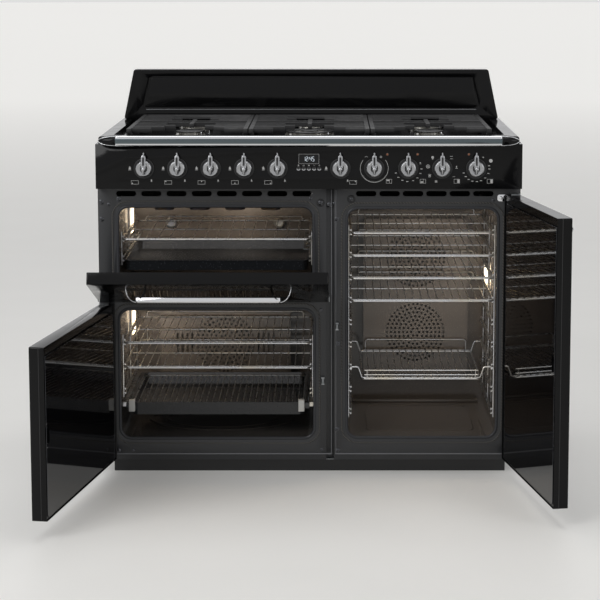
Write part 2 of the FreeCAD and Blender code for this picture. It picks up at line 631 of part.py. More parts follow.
def burners():
    """Cup and crown of each burner, and the cap that lies on it."""
    solids = []
    for bx, by, radius in burner_places():
        cup = Part.makeCylinder(radius - BURNER_LEDGE - PART_GAP, BURNER_CUP_DROP,
                                Vector(bx, by, WELL_FLOOR - BURNER_CUP_DROP))
        crown = Part.makeCone(radius + BURNER_LEDGE, radius, BURNER_HEIGHT, Vector(bx, by, WELL_FLOOR))
        cap = Part.makeCone(radius + BURNER_LEDGE / 2, radius - BURNER_LEDGE, BURNER_CAP,
                            Vector(bx, by, WELL_FLOOR + BURNER_HEIGHT))
        spark = Part.makeCylinder(SPARK_RADIUS, BURNER_HEIGHT - 2,
                                  Vector(bx, by - radius - BURNER_LEDGE - 2 * SPARK_RADIUS, WELL_FLOOR))
        solids += [cup.fuse(crown), cap, spark]
    return solids


def pan_supports():
    """Three cast grids: side rails with fingers towards each burner, and bars right across."""
    top = WORKTOP_HEIGHT + SUPPORT_RISE
    z = (top - SUPPORT_BAR_HEIGHT, top)
    half = SUPPORT_BAR / 2
    middle = sum(BURNER_ROWS) / 2
    grids = []
    for column in range(3):
        cx = (column - 1) * BURNER_PITCH
        x = grown((cx, cx), (BURNER_PITCH - SUPPORT_GAP) / 2)
        bars = [box((x[0], x[0] + SUPPORT_BAR), SUPPORT_Y, z), box((x[1] - SUPPORT_BAR, x[1]), SUPPORT_Y, z),
                box(x, (SUPPORT_Y[1] - SUPPORT_BAR, SUPPORT_Y[1]), z)]
        bars += [box(x, grown((middle + step, middle + step), half), z)
                 for step in (-CROSS_BAR_STEP, CROSS_BAR_STEP)]
        for by in BURNER_ROWS:
            for step, tip in FINGERS:
                y = grown((by + step, by + step), half)
                bars += [box((x[0], cx - tip), y, z), box((cx + tip, x[1]), y, z)]
            side = 1 if by < middle else -1
            bars.append(box(grown((cx, cx), half), sorted((by + side * FINGERS[3][0], middle)), z))
        bars += [Part.makeCone(4, 6, z[0] - WELL_FLOOR, Vector(fx, fy, WELL_FLOOR))
                 for fx in grown(x, -8) for fy in grown(SUPPORT_Y, -8)]
        grids.append(fuse(bars).removeSplitter())
    return grids


def splashback():
    """Folded upstand behind the hob, with a pressed groove round its face."""
    z = (WORKTOP_HEIGHT, WORKTOP_HEIGHT + SPLASH_HEIGHT)
    y = (BACK - SPLASH_DEPTH, BACK)
    foot = HOB_X[1] - SPLASH_INSET
    halves = (foot, foot - SPLASH_LEAN)
    outer = trapezoid(y, z, halves[0], halves[1], 6)
    hollow = trapezoid((y[0] + SHEET, y[1] + 1), (z[0] + SHEET, z[1] - SHEET), halves[0] - SHEET,
                       halves[1] - SHEET, 4.5)
    lean = (halves[0] - halves[1]) / SPLASH_HEIGHT

    def plate(inset, depth):
        low, high = GROOVE_Z[0] + inset, GROOVE_Z[1] - inset
        margin = GROOVE_MARGIN + inset
        return trapezoid(depth, (z[0] + low, z[0] + high), halves[0] - lean * low - margin,
                         halves[0] - lean * high - margin, GROOVE_RADIUS - inset / 2)

    back_of_groove = (y[0], y[0] + GROOVE_DEPTH + SHEET)
    channel = plate(-SHEET, back_of_groove).cut(plate(GROOVE_WIDTH + SHEET, back_of_groove))
    front = (y[0] - 1, y[0] + GROOVE_DEPTH)
    groove = plate(0, front).cut(plate(GROOVE_WIDTH, front))
    return outer.cut(hollow).fuse(channel).cut(groove)


def towel_rail():
    """Chrome bar across the front, and the two end caps that carry it."""
    mid_z = WORKTOP_HEIGHT - RAIL_CENTRE_DROP
    z = grown((mid_z, mid_z), RAIL_HEIGHT / 2)
    y = (FRONT - RAIL_STANDOFF - RAIL_THICKNESS, FRONT - RAIL_STANDOFF)
    chrome_end = HALF_WIDTH - RAIL_CAP
    bar = rounded_box((-chrome_end, chrome_end), y, z, RAIL_THICKNESS / 2 - 0.2, X_AXIS)
    caps = []
    for side in (-1, 1):
        x = sorted((side * chrome_end, side * HALF_WIDTH))
        cap = box(x, (y[0], FRONT), z)
        outer = [e for e in edges_along(cap, Z_AXIS)
                 if abs(e.BoundBox.XMin - side * HALF_WIDTH) < 1 and e.BoundBox.YMin < y[0] + 1]
        caps.append(cap.makeFillet(RAIL_BEND, outer))
    return [bar] + caps


# ---- doors ----
def door_shell(x, z, depth, bushes, notch=None):
    """Outer tray of a door with its window hole, and the ring inside that carries the glass."""
    y = (FRONT, FRONT + depth)
    tray = rounded_box(x, y, z, 4)
    tray = tray.cut(box(grown(x, -SHEET), (y[0] + SHEET, y[1]), grown(z, -SHEET)))
    window = rounded_box(grown(x, -WINDOW_MARGIN), (y[0], y[0] + SHEET), window_span(z), 22)
    tray = tray.cut(window)
    tray = fuse([tray] + [bush for bush, _ in bushes])
    tray = cut(tray, [bore for _, bore in bushes])
    ring_y = (y[1] - GLASS + GLASS_PROUD - 2, y[1] - GLASS + GLASS_PROUD)
    ring = rounded_box(grown(x, -SHEET - PART_GAP), ring_y, grown(z, -SHEET - PART_GAP), 3)
    holes = [rounded_box(grown(x, -60), ring_y, grown(z, -60), 20)]
    holes += [grown_bush for grown_bush in (clearance_round(bore) for _, bore in bushes)]
    if notch:
        holes.append(box(grown((notch[0], notch[0]), NOTCH[0]), ring_y, grown((notch[1], notch[1]), NOTCH[1])))
    return [tray, cut(ring, holes)]


def window_span(z):
    """Window's height: the margin below, and the handle's room above."""
    return (z[0] + WINDOW_BELOW, z[1] - WINDOW_MARGIN)


def clearance_round(bore):
    """Block that clears a hinge bush, from its bore."""
    room = bore.BoundBox
    spread = BUSH_RADIUS - HINGE_PIN_RADIUS + 1
    return box(grown((room.XMin, room.XMax), spread), grown((room.YMin, room.YMax), spread),
               grown((room.ZMin, room.ZMax), spread))


def door_glass(x, z, depth, hinge_left=None, notch=None):
    """Inner pane over the door's back, and the pane behind the outer window."""
    y = (FRONT, FRONT + depth)
    edges = [GLASS_EDGE, GLASS_EDGE]
    if hinge_left is not None:
        edges[0 if hinge_left else 1] = GLASS_HINGE_EDGE
    pane = rounded_box((x[0] + edges[0], x[1] - edges[1]), (y[1] - GLASS + GLASS_PROUD, y[1] + GLASS_PROUD),
                       (z[0] + GLASS_LOW, z[1] - GLASS_HIGH), 10)
    if notch:
        pane = pane.cut(box(grown((notch[0], notch[0]), NOTCH[0] + 3), grown(y, GLASS),
                            grown((notch[1], notch[1]), NOTCH[1] + 3)))
    outer = rounded_box(grown(x, WINDOW_LAP - WINDOW_MARGIN), (y[0] + SHEET, y[0] + SHEET + GLASS),
                        grown(window_span(z), WINDOW_LAP), 22)
    return [pane, outer]


def door_handle(x, top):
    """Bar across the door and the two arms that hold it off the face."""
    z = grown((top - HANDLE_DROP, top - HANDLE_DROP), HANDLE_HEIGHT / 2)
    y = (FRONT - HANDLE_STANDOFF - HANDLE_THICKNESS, FRONT - HANDLE_STANDOFF)
    ends = grown(x, -HANDLE_MARGIN)
    bar = rounded_box(grown(ends, -HANDLE_ARM), y, z, HANDLE_THICKNESS / 2 - 0.2, X_AXIS)
    arms = []
    for outside, inside in ((ends[0], ends[0] + HANDLE_ARM), (ends[1], ends[1] - HANDLE_ARM)):
        arm = box(sorted((outside, inside)), (y[0], FRONT), z)
        outer = [e for e in edges_along(arm, Z_AXIS)
                 if abs(e.BoundBox.XMin - outside) < 1 and e.BoundBox.YMin < y[0] + 1]
        post = outside + math.copysign(HANDLE_POST, inside - outside)
        gap = box(sorted((post, inside)), (y[1], FRONT), grown(z, 1))
        arms.append(arm.makeFillet(HANDLE_ARM * 0.8, outer).cut(gap))
    return [bar] + arms


def opened(shapes, pivot, axis, angle):
    turned = []
    for shape in shapes:
        copy = shape.copy()
        copy.rotate(pivot, axis, angle)
        turned.append(copy)
    return turned


def bush_on(point, way):
    """Hinge bush inside a door edge, and the bore through it."""
    start = point - way * 0.1
    return (Part.makeCylinder(BUSH_RADIUS, BUSH_LENGTH, point, way),
            Part.makeCylinder(HINGE_PIN_RADIUS + RUNNING_GAP, BUSH_LENGTH + 0.2, start, way))


def side_door(name, x, z, pivot, angle, catch):
    """Side-hung door with its upright hinge bushes, turned open."""
    low = bush_on(Vector(pivot.x, pivot.y, z[0]), Z_AXIS)
    high = bush_on(Vector(pivot.x, pivot.y, z[1]), Z_AXIS * -1)
    hinge_left = pivot.x < (x[0] + x[1]) / 2
    export(name + "_shell", *opened(door_shell(x, z, DOOR_DEPTH, [low, high], catch), pivot, Z_AXIS, angle))
    export(name + "_glass", *opened(door_glass(x, z, DOOR_DEPTH, hinge_left, catch), pivot, Z_AXIS, angle))
    export(name + "_handle", *opened(door_handle(x, z[1]), pivot, Z_AXIS, angle))


def grill_door():
    """Drop-down flap with a bush at each lower corner, turned open."""
    left = bush_on(Vector(FLAP_X[0], FLAP_PIVOT.y, FLAP_PIVOT.z), X_AXIS)
    right = bush_on(Vector(FLAP_X[1], FLAP_PIVOT.y, FLAP_PIVOT.z), X_AXIS * -1)
    pieces = {"shell": door_shell(FLAP_X, FLAP_Z, FLAP_DEPTH, [left, right]),
              "glass": door_glass(FLAP_X, FLAP_Z, FLAP_DEPTH), "handle": door_handle(FLAP_X, FLAP_Z[1])}
    for name, shapes in pieces.items():
        export("grill_door_" + name, *opened(shapes, FLAP_PIVOT, X_AXIS, FLAP_OPEN))


def hinge_brackets():
    """Plates and pins of the doors' hinges, and the two roller catches."""
    solids = []
    for pivot, span in ((TALL_PIVOT, TALL_DOOR_Z), (MAIN_PIVOT, MAIN_DOOR_Z)):
        for edge, away in ((span[0], -1), (span[1], 1)):
            near, far = edge + away * 0.4, edge + away * 1.9
            plate = box(grown((pivot.x, pivot.x), 12), (pivot.y - 7, FRAME_FRONT), sorted((near, far)))
            pin = rod(Vector(pivot.x, pivot.y, far), Vector(pivot.x, pivot.y, edge - away * PIN_DEPTH),
                      HINGE_PIN_RADIUS)
            solids.append(plate.fuse(pin))
    for edge, away in ((FLAP_X[0], -1), (FLAP_X[1], 1)):
        near, far = edge + away * 0.5, edge + away * 2.3
        ear = box(sorted((near, far)), (FLAP_PIVOT.y - 6, FRAME_FRONT), (FLAP_PIVOT.z - 6, FLAP_PIVOT.z + 8))
        pin = rod(Vector(far, FLAP_PIVOT.y, FLAP_PIVOT.z),
                  Vector(edge - away * PIN_DEPTH, FLAP_PIVOT.y, FLAP_PIVOT.z), HINGE_PIN_RADIUS)
        solids.append(ear.fuse(pin))
    for cx, cz in CATCHES:
        roller_y = FRAME_FRONT - CATCH_REACH + CATCH_ROLLER
        arm = box(grown((cx, cx), CATCH_ROLLER), (roller_y, FRAME_FRONT), grown((cz, cz), 10))
        roller = Part.makeCylinder(CATCH_ROLLER, 12, Vector(cx, roller_y, cz - 6))
        solids.append(arm.fuse(roller))
    return solids


# ---- racks, trays and their rungs ----
def ladder(wall, inward, heights):
    """Wire rack guide on one side wall: uprights and pairs of rungs."""
    upright_x = wall + inward * LADDER_OFF
    rung_x = wall + inward * RUNG_OFF
    uprights = (LADDER_Y[0] + 8, sum(LADDER_Y) / 2, LADDER_Y[1] - 8)
    foot, head = heights[0] - LADDER_SPARE, heights[-1] + RUNG_PAIR + LADDER_SPARE
    rods = [rod(Vector(upright_x, y, foot), Vector(upright_x, y, head), LADDER_ROD) for y in uprights]
    for height in heights:
        for z in (height, height + RUNG_PAIR):
            rods.append(rod(Vector(rung_x, LADDER_Y[0], z), Vector(rung_x, LADDER_Y[1], z), RUNG_ROD))
            rods += [rod(Vector(upright_x, y, z), Vector(rung_x, y, z), LINK_ROD) for y in uprights]
    return fuse(rods)


def tray_rail(wall, inward):
    """Fixed rail of the main oven's telescopic runner."""
    top = TRAY_RIM - TRAY_SHEET
    faces = sorted(wall + inward * reach for reach in FIXED_RAIL)
    return box(faces, LADDER_Y, (top - RUNNER_HEIGHT + 2, top - 2))


def side_ladders():
    solids = []
    for x, rungs in ((GRILL_X, GRILL_RUNGS), (MAIN_X, MAIN_RUNGS), (TALL_X, TALL_RUNGS)):
        solids += [ladder(x[0], 1, rungs), ladder(x[1], -1, rungs)]
    return solids + [tray_rail(MAIN_X[0], 1), tray_rail(MAIN_X[1], -1)]


def rack_height(rung):
    return rung + RUNG_ROD + RACK_ROD + RACK_CLEARANCE


def fore_aft_wires(x, y, z, pitch):
    """Evenly spaced wires between two side rods."""
    count = int((x[1] - x[0]) / pitch) - 1
    step = (x[1] - x[0]) / (count + 1)
    return [rod(Vector(x[0] + step * i, y[0], z), Vector(x[0] + step * i, y[1], z), WIRE_ROD)
            for i in range(1, count + 1)]


def flat_rack(x, rung, stop, pitch=WIRE_PITCH):
    """Wire rack: a flat grille of wires in a bent frame, and a stop rod welded on at the back."""
    half = (x[1] - x[0]) / 2 - RUNG_OFF
    side = (-half, half)
    wire_z = RACK_ROD + WIRE_ROD - WIRE_SINK
    low_x = grown(side, -STOP_INSET)
    stop_rod = bent_rod([Vector(low_x[0], RACK_Y[1], 0), Vector(low_x[0], RACK_Y[1], stop),
                         Vector(low_x[1], RACK_Y[1], stop), Vector(low_x[1], RACK_Y[1], 0)], 7, STOP_ROD)
    cross_z = RACK_ROD - RUNG_ROD
    cross = [rod(Vector(side[0], y, cross_z), Vector(side[1], y, cross_z), RUNG_ROD)
             for y in (RACK_Y[0] + 14, sum(RACK_Y) / 2)]
    grille = fuse([rod_frame(side, RACK_Y, 0, RACK_BEND, RACK_ROD)] + cross)
    grille = fuse([grille] + fore_aft_wires(side, grown(RACK_Y, 1), wire_z, pitch))
    return placed([grille] + cut(stop_rod, [grille]).Solids, Vector((x[0] + x[1]) / 2, 0, rack_height(rung)))


def placed(shapes, where):
    """The shapes, moved."""
    for shape in shapes:
        shape.translate(where)
    return shapes


def hanging_basket():
    """Deep wire rack: a low grille, a hanger each side up to its rung, a front rail and a back stop."""
    side = grown(TALL_X, -RUNG_OFF)
    z_top = rack_height(TALL_RUNGS[BASKET_RUNG])
    z_low = z_top - BASKET_DROP
    inner = grown(side, -BASKET_INSET)
    leg_y = grown(RACK_Y, -16)
    grille = fuse([rod_frame(inner, RACK_Y, z_low, 10, RUNG_ROD)]
                  + [rod(Vector(inner[0], y, z_low), Vector(inner[1], y, z_low), CRANK_ROD) for y in leg_y]
                  + fore_aft_wires(inner, grown(RACK_Y, 0.8), z_low + RUNG_ROD, BASKET_WIRE_PITCH))
    welded = []
    for outer, low, inward in zip(side, inner, (1, -1)):
        legs = [bent_rod([Vector(outer, y, z_top), Vector(outer + inward * 20, y, z_top),
                          Vector(low, y, z_low)], 7, CRANK_ROD) for y in leg_y]
        side_rod = rod(Vector(outer, RACK_Y[0], z_top), Vector(outer, RACK_Y[1], z_top), RACK_ROD)
        welded.append(fuse([side_rod] + legs))
    bar_ends = grown(inner, -6)
    rails = [rod(Vector(bar_ends[0], RACK_Y[0], z_low + rise), Vector(bar_ends[1], RACK_Y[0], z_low + rise),
                 LINK_ROD) for rise in BASKET_RAILS]
    rails += [rod(Vector(x, RACK_Y[0], z_low), Vector(x, RACK_Y[0], z_low + BASKET_RAILS[1]), WIRE_ROD)
              for x in grown(inner, -13)]
    welded.append(fuse(rails))
    stop_x = grown(inner, -14)
    stop_z = z_top + 2
    welded.append(bent_rod([Vector(stop_x[0], RACK_Y[1], z_low), Vector(stop_x[0], RACK_Y[1], stop_z),
                            Vector(stop_x[1], RACK_Y[1], stop_z), Vector(stop_x[1], RACK_Y[1], z_low)],
                           8, LINK_ROD))
    return [grille] + [cut(piece, [grille]) for piece in welded]


def tray(x, rim, depth, flange):
    """Pressed enamel tray with an outward rim."""
    bowl = rounded_box(x, TRAY_Y, (rim - depth, rim), TRAY_RADIUS, Z_AXIS)
    hollow = rounded_box(grown(x, -TRAY_SHEET), grown(TRAY_Y, -TRAY_SHEET), (rim - depth + TRAY_SHEET, rim),
                         TRAY_RADIUS - TRAY_SHEET, Z_AXIS)
    lip = rounded_box(grown(x, flange), grown(TRAY_Y, flange / 2), (rim - TRAY_SHEET, rim), TRAY_RADIUS + 2,
                      Z_AXIS)
    return bowl.fuse(lip).cut(hollow).removeSplitter()


def grill_tray():
    rim = GRILL_RUNGS[0] + RUNG_ROD + RACK_CLEARANCE + TRAY_SHEET
    return tray(grown(GRILL_X, -RUNG_OFF - GRILL_TRAY_GAP), rim, TRAY_DEPTH, GRILL_TRAY_LIP)


def main_tray():
    """Deep tray on the moving halves of its telescopic runners, with a block at each front end."""
    top = TRAY_RIM - TRAY_SHEET
    z = (top - RUNNER_HEIGHT, top)
    solids = [tray(grown(MAIN_X, -MAIN_TRAY_INSET), TRAY_RIM, MAIN_TRAY_DEPTH, MAIN_TRAY_LIP)]
    for wall, inward in ((MAIN_X[0], 1), (MAIN_X[1], -1)):
        near = wall + inward * RUNNER_OFF
        far = near + inward * RUNNER_WIDTH
        solids.append(box(sorted((near, far)), LADDER_Y, z))
        solids.append(rounded_box(sorted((near - inward * 2, far + inward * 4.5)),
                                  (LADDER_Y[0] - RUNNER_BLOCK, LADDER_Y[0]), z, 2))
    return solids


# ---- controls ----
def knob(kx):
    """Control knob: skirt, body and lever grip on its spindle."""
    base = FRONT - KNOB_GAP
    skirt_top = base - SKIRT_HEIGHT
    body_top = skirt_top - KNOB_HEIGHT
    toward_user = Y_AXIS * -1
    skirt = Part.makeCylinder(KNOB_SKIRT, SKIRT_HEIGHT, Vector(kx, base, KNOB_Z), toward_user)
    body = Part.makeCone(KNOB_RADIUS + KNOB_TAPER, KNOB_RADIUS - KNOB_TAPER, KNOB_HEIGHT,
                         Vector(kx, skirt_top, KNOB_Z), toward_user)
    lever = rounded_box(grown((kx, kx), LEVER_WIDTH / 2), (body_top - LEVER_HEIGHT, skirt_top),
                        (KNOB_Z - LEVER_TAIL, KNOB_Z + LEVER_REACH), 5)
    spindle = Part.makeCylinder(SPINDLE_RADIUS, TAP_FRONT + SPINDLE_DEPTH, Vector(kx, base, KNOB_Z), Y_AXIS)
    return fuse([skirt, body, lever, spindle])


def button_positions():
    middle = (BUTTON_COUNT - 1) / 2
    return [(i - middle) * BUTTON_PITCH for i in range(BUTTON_COUNT)]


def timer_button(bx):
    """Push button with a collar behind the panel."""
    tip = Vector(bx, FRONT - BUTTON_PROUD, KNOB_Z)
    behind = Vector(bx, FRONT + SHEET + COLLAR_GAP, KNOB_Z)
    stem = Part.makeCylinder(BUTTON_RADIUS, BUTTON_PROUD + BUTTON_STEM, tip, Y_AXIS)
    collar = Part.makeCylinder(BUTTON_RADIUS + COLLAR[0], COLLAR[1], behind, Y_AXIS)
    return stem.fuse(collar)


def control_panel():
    """Folded fascia with holes for the spindles, buttons and display."""
    x = (-HALF_WIDTH, HALF_WIDTH)
    y = (FRONT, FRAME_FRONT)
    z = (PANEL_BOTTOM, PANEL_TOP)
    outer = box(x, y, z)
    shell = outer.cut(box(grown(x, -SHEET), (y[0] + SHEET, y[1]), grown(z, -SHEET)))
    holes = [Part.makeCylinder(SPINDLE_HOLE, SHEET, Vector(kx, FRONT, KNOB_Z), Y_AXIS) for kx in KNOB_X]
    holes += [Part.makeCylinder(BUTTON_RADIUS + BUTTON_GAP, SHEET, Vector(bx, FRONT, KNOB_Z), Y_AXIS)
              for bx in button_positions()]
    holes.append(box(display_span(0)[0], (FRONT, FRONT + SHEET), display_span(0)[1]))
    return cut(shell, holes)


def display_span(margin):
    width, height = DISPLAY_SIZE
    return (grown((0, 0), width / 2 + margin), grown((DISPLAY_Z, DISPLAY_Z), height / 2 + margin))


def timer_display():
    """Display window with its bezel, and the timer module behind the panel."""
    x, z = display_span(-PART_GAP)
    window = box(x, (FRONT - BEZEL[1] / 2, FRONT + DISPLAY_DEPTH), z)
    bezel_x, bezel_z = display_span(BEZEL[0])
    bezel = rounded_box(bezel_x, (FRONT - BEZEL[1], FRONT), bezel_z, BEZEL[0]).cut(window)
    module = box((-MODULE_HALF_WIDTH, MODULE_HALF_WIDTH), (FRONT + MODULE_DEPTH[0], FRONT + MODULE_DEPTH[1]),
                 (KNOB_Z - MODULE_BELOW, DISPLAY_Z + MODULE_ABOVE))
    return [window, bezel, module]


def control_body(kx, radius, back):
    """Round body behind the panel, bored for the knob's spindle."""
    front = Vector(kx, FRONT + TAP_FRONT, KNOB_Z)
    body = Part.makeCylinder(radius, back - TAP_FRONT, front, Y_AXIS)
    return body.cut(Part.makeCylinder(SPINDLE_RADIUS + RUNNING_GAP, TAP_BORE, front, Y_AXIS))


def gas_manifold():
    """Gas rail with its taps, led back to the threaded inlet."""
    pipe_y = FRONT + PIPE_BACK
    inlet_end = BACK - INLET_RECESS
    path = [Vector(GAS_KNOBS[0] - PIPE_SPARE, pipe_y, KNOB_Z), Vector(PIPE_TURN_X, pipe_y, KNOB_Z),
            Vector(PIPE_TURN_X, inlet_end - INLET_LENGTH, KNOB_Z)]
    inlet = Part.makeCylinder(INLET_RADIUS, INLET_LENGTH, Vector(PIPE_TURN_X, inlet_end - INLET_LENGTH, KNOB_Z),
                              Y_AXIS)
    taps = [control_body(kx, TAP_RADIUS, PIPE_BACK) for kx in GAS_KNOBS]
    return fuse([bent_rod(path, PIPE_BEND, PIPE_RADIUS), inlet] + taps)


def oven_switches():
    return [control_body(kx, SWITCH_RADIUS, TAP_BACK) for kx in OVEN_KNOBS]


def export_racks():
    """Every rack and tray, each on its own rungs."""
    export("grill_rack", *flat_rack(GRILL_X, GRILL_RUNGS[1], RUNG_PAIR, GRILL_WIRE_PITCH))
    export("grill_tray", grill_tray())
    export("main_rack_upper", *flat_rack(MAIN_X, MAIN_RUNGS[2], RACK_STOP))
    export("main_rack_lower", *flat_rack(MAIN_X, MAIN_RUNGS[1], HIGH_STOP))
    export("main_tray", *main_tray())
    for number in range(1, TALL_RACKS + 1):
        export("tall_rack_%d" % number, *flat_rack(TALL_X, TALL_RUNGS[-number], RACK_STOP))
    export("tall_basket", *hanging_basket())


def export_controls():
    for number, kx in enumerate(GAS_KNOBS, 1):
        export("burner_knob_%d" % number, knob(kx))
    names = ("grill_knob", "main_oven_knob", "tall_oven_mode_knob", "tall_oven_heat_knob")
    for name, kx in zip(names, OVEN_KNOBS):
        export(name, knob(kx))
    for number, bx in enumerate(button_positions(), 1):
        export("timer_button_%d" % number, timer_button(bx))


def main():
    os.makedirs("parts", exist_ok=True)
    export("casing_panels", *casing_panels())
    export("base_pan", base_pan())
    export("levelling_feet", *levelling_feet())
    export("plinth", plinth())
    export("front_frame_left", front_frame_left())
    export("front_frame_right", front_frame_right())
    export("grill_cavity", cavity(GRILL_X, GRILL_Z))
    export("main_cavity", cavity(MAIN_X, MAIN_Z, [MAIN_FAN]))
    export("tall_cavity", cavity(TALL_X, TALL_Z, TALL_FANS))
    export("side_ladders", *side_ladders())
    export("fan_covers", *fan_covers())
    export("fan_motors", *fan_motors())
    export("heating_elements", *heating_elements())
    export("main_fan", fan(MAIN_FAN))
    export("tall_fan_upper", fan(TALL_FANS[0]))
    export("tall_fan_lower", fan(TALL_FANS[1]))
    export("control_panel", control_panel())
    export("timer_display", *timer_display())
    export("gas_manifold", gas_manifold())
    export("oven_switches", *oven_switches())
    export("hob_top", hob_top())
    export("burners", *burners())
    export("pan_supports", *pan_supports())
    export("splashback", splashback())
    export("towel_rail", *towel_rail())
    export("hinge_brackets", *hinge_brackets())
    side_door("tall_door", TALL_DOOR_X, TALL_DOOR_Z, TALL_PIVOT, DOOR_OPEN, CATCHES[1])
    side_door("main_door", MAIN_DOOR_X, MAIN_DOOR_Z, MAIN_PIVOT, -DOOR_OPEN, CATCHES[0])
    grill_door()
    export_racks()
    export_controls()


main()
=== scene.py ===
"""Looks of a range cooker with three ovens, built round its construction model."""
import json
import math

import bmesh
import bpy
from bpy.props import FloatProperty, FloatVectorProperty
from mathutils import Matrix, Vector

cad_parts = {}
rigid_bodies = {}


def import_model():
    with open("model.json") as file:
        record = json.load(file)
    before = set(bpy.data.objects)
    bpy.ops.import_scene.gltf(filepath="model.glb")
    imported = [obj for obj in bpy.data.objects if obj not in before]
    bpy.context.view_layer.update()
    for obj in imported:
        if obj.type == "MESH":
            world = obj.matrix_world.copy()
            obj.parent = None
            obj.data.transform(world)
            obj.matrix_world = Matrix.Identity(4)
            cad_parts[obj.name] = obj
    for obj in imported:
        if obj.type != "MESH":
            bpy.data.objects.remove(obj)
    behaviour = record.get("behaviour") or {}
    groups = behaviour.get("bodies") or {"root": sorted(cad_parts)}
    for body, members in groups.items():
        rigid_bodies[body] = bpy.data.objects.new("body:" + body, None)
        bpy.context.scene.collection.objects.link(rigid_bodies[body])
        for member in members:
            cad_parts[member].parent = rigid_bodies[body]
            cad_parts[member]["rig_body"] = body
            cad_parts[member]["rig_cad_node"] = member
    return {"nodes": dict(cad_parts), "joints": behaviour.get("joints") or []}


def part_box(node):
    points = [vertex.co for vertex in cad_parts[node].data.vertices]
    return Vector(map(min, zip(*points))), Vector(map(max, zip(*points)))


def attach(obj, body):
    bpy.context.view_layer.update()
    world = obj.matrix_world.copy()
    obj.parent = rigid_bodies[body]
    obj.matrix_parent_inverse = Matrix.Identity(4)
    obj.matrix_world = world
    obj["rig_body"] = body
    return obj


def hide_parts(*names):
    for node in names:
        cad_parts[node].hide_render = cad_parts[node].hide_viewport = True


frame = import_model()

bl_info = {
    "name": "Range cooker looks",
    "version": (1, 0, 0),
    "blender": (4, 5, 0),
    "location": "View3D > Sidebar > Cooker",
    "description": "Models and finishes the visible pieces of a range cooker round its construction model",
    "category": "Object",
}

MM = 0.001
NODES = frame["nodes"]
HINGES = {joint["child"]: joint for joint in frame["joints"]}
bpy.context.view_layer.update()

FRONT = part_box("control_panel")[0].y          # face of the control panel and of the shut doors
FRAME_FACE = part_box("front_frame_left")[0].y
SHEET = 1.5 * MM
BURNER_KNOBS = ["burner_knob_%d" % n for n in range(1, 7)]
OVEN_KNOBS = ["grill_knob", "main_oven_knob", "tall_oven_mode_knob", "tall_oven_heat_knob"]
KNOB_NODES = BURNER_KNOBS + OVEN_KNOBS
BUTTON_NODES = ["timer_button_%d" % n for n in range(1, 6)]
DOORS = ("tall_door", "main_door", "grill_door")
FACING_FRONT = (math.pi / 2, 0, 0)      # turns a flat shape or a cylinder to the front
LAID_DOWN = Matrix.Rotation(-math.pi / 2, 4, "X")   # turns an upright ring to lie flat
ROUND_ANGLE = 60                        # degrees up to which round pieces are shaded smooth
BENT_ANGLE = 50                         # the same for bent and turned pieces
QUARTER = math.pi / 2


def linear(code):
    """Linear RGBA of an sRGB hex colour."""
    channels = [int(code[i:i + 2], 16) / 255 for i in (1, 3, 5)]
    return tuple(c / 12.92 if c <= 0.04045 else ((c + 0.055) / 1.055) ** 2.4 for c in channels) + (1.0,)


# ---- what a user would change ----
def length(name, description, default):
    return FloatProperty(name=name, description=description, default=default * MM, unit="LENGTH",
                         precision=4)


def colour(name, description, code):
    return FloatVectorProperty(name=name, description=description, default=linear(code)[:3], subtype="COLOR",
                               size=3, min=0, max=1)


class CookerSizes(bpy.types.PropertyGroup):
    """Sizes of the pieces that are modelled here."""
    knob_radius: length("Knob radius", "Silver dial of each control knob", 20.5)
    bezel_radius: length("Bezel radius", "Black ring behind each knob", 26.5)
    lever_reach: length("Lever reach", "Knob's centre to the top of its lever", 37)
    lever_width: length("Lever width", "Width of a knob's lever", 12)
    lip_radius: length("Oven lip radius", "Rolled lip round each oven's mouth", 4.5)
    seal_radius: length("Door seal radius", "Braided seal round each oven's mouth", 2.2)
    elbow_height: length("Handle end height", "Height of the almond-shaped ends of each handle", 32)
    lamp_radius: length("Oven lamp radius", "Glass lens of each oven lamp", 18)
    pilot_radius: length("Pilot lamp radius", "Amber pilot lamps on the control panel", 3)
    seam_bevel: length("Edge softness", "Rounding of cast and pressed edges", 1.6)


class CookerColours(bpy.types.PropertyGroup):
    """Base colours of the finishes."""
    gloss_black: colour("Gloss enamel", "Doors, worktop, panel and splashback", "#0b0b0c")
    satin_black: colour("Satin enamel", "Front frames round the ovens", "#242527")
    oven_enamel: colour("Oven enamel", "Inside of the ovens", "#4a4642")
    chrome: colour("Chrome", "Racks, rail and handle bars", "#d6d7d9")
    silver: colour("Satin silver", "Knobs and buttons", "#a7a8aa")
    cast_iron: colour("Cast iron", "Pan supports", "#1d1d1e")
    ink: colour("Panel print", "Symbols on the control panel", "#c8c8c6")
    lamp: colour("Oven lamp", "Lit lens of the oven lamps", "#ffe9cc")
    floor: colour("Floor", "Plain studio floor", "#d8d7d4")


# ---- modelling helpers ----
def only(piece):
    """Select this piece alone and make it active, in object mode."""
    if bpy.context.object and bpy.context.object.mode != "OBJECT":
        bpy.ops.object.mode_set(mode="OBJECT")
    bpy.ops.object.select_all(action="DESELECT")
    piece.select_set(True)
    bpy.context.view_layer.objects.active = piece
    return piece


def settle(piece):
    """Move the object's place, turn and scale into its mesh."""
    only(piece)
    bpy.ops.object.transform_apply(location=True, rotation=True, scale=True)
    return piece


def start(kind, name, **settings):
    """Add a primitive with nothing else selected, and settle it."""
    if bpy.context.object and bpy.context.object.mode != "OBJECT":
        bpy.ops.object.mode_set(mode="OBJECT")
    bpy.ops.object.select_all(action="DESELECT")
    scale = settings.pop("scale", (1, 1, 1))
    getattr(bpy.ops.mesh, "primitive_%s_add" % kind)(**settings)
    piece = bpy.context.object
    piece.name = name
    piece.scale = scale
    return settle(piece)


def block(name, low, high):
    low, high = Vector(low), Vector(high)
    return start("cube", name, size=1, location=(low + high) / 2, scale=high - low)


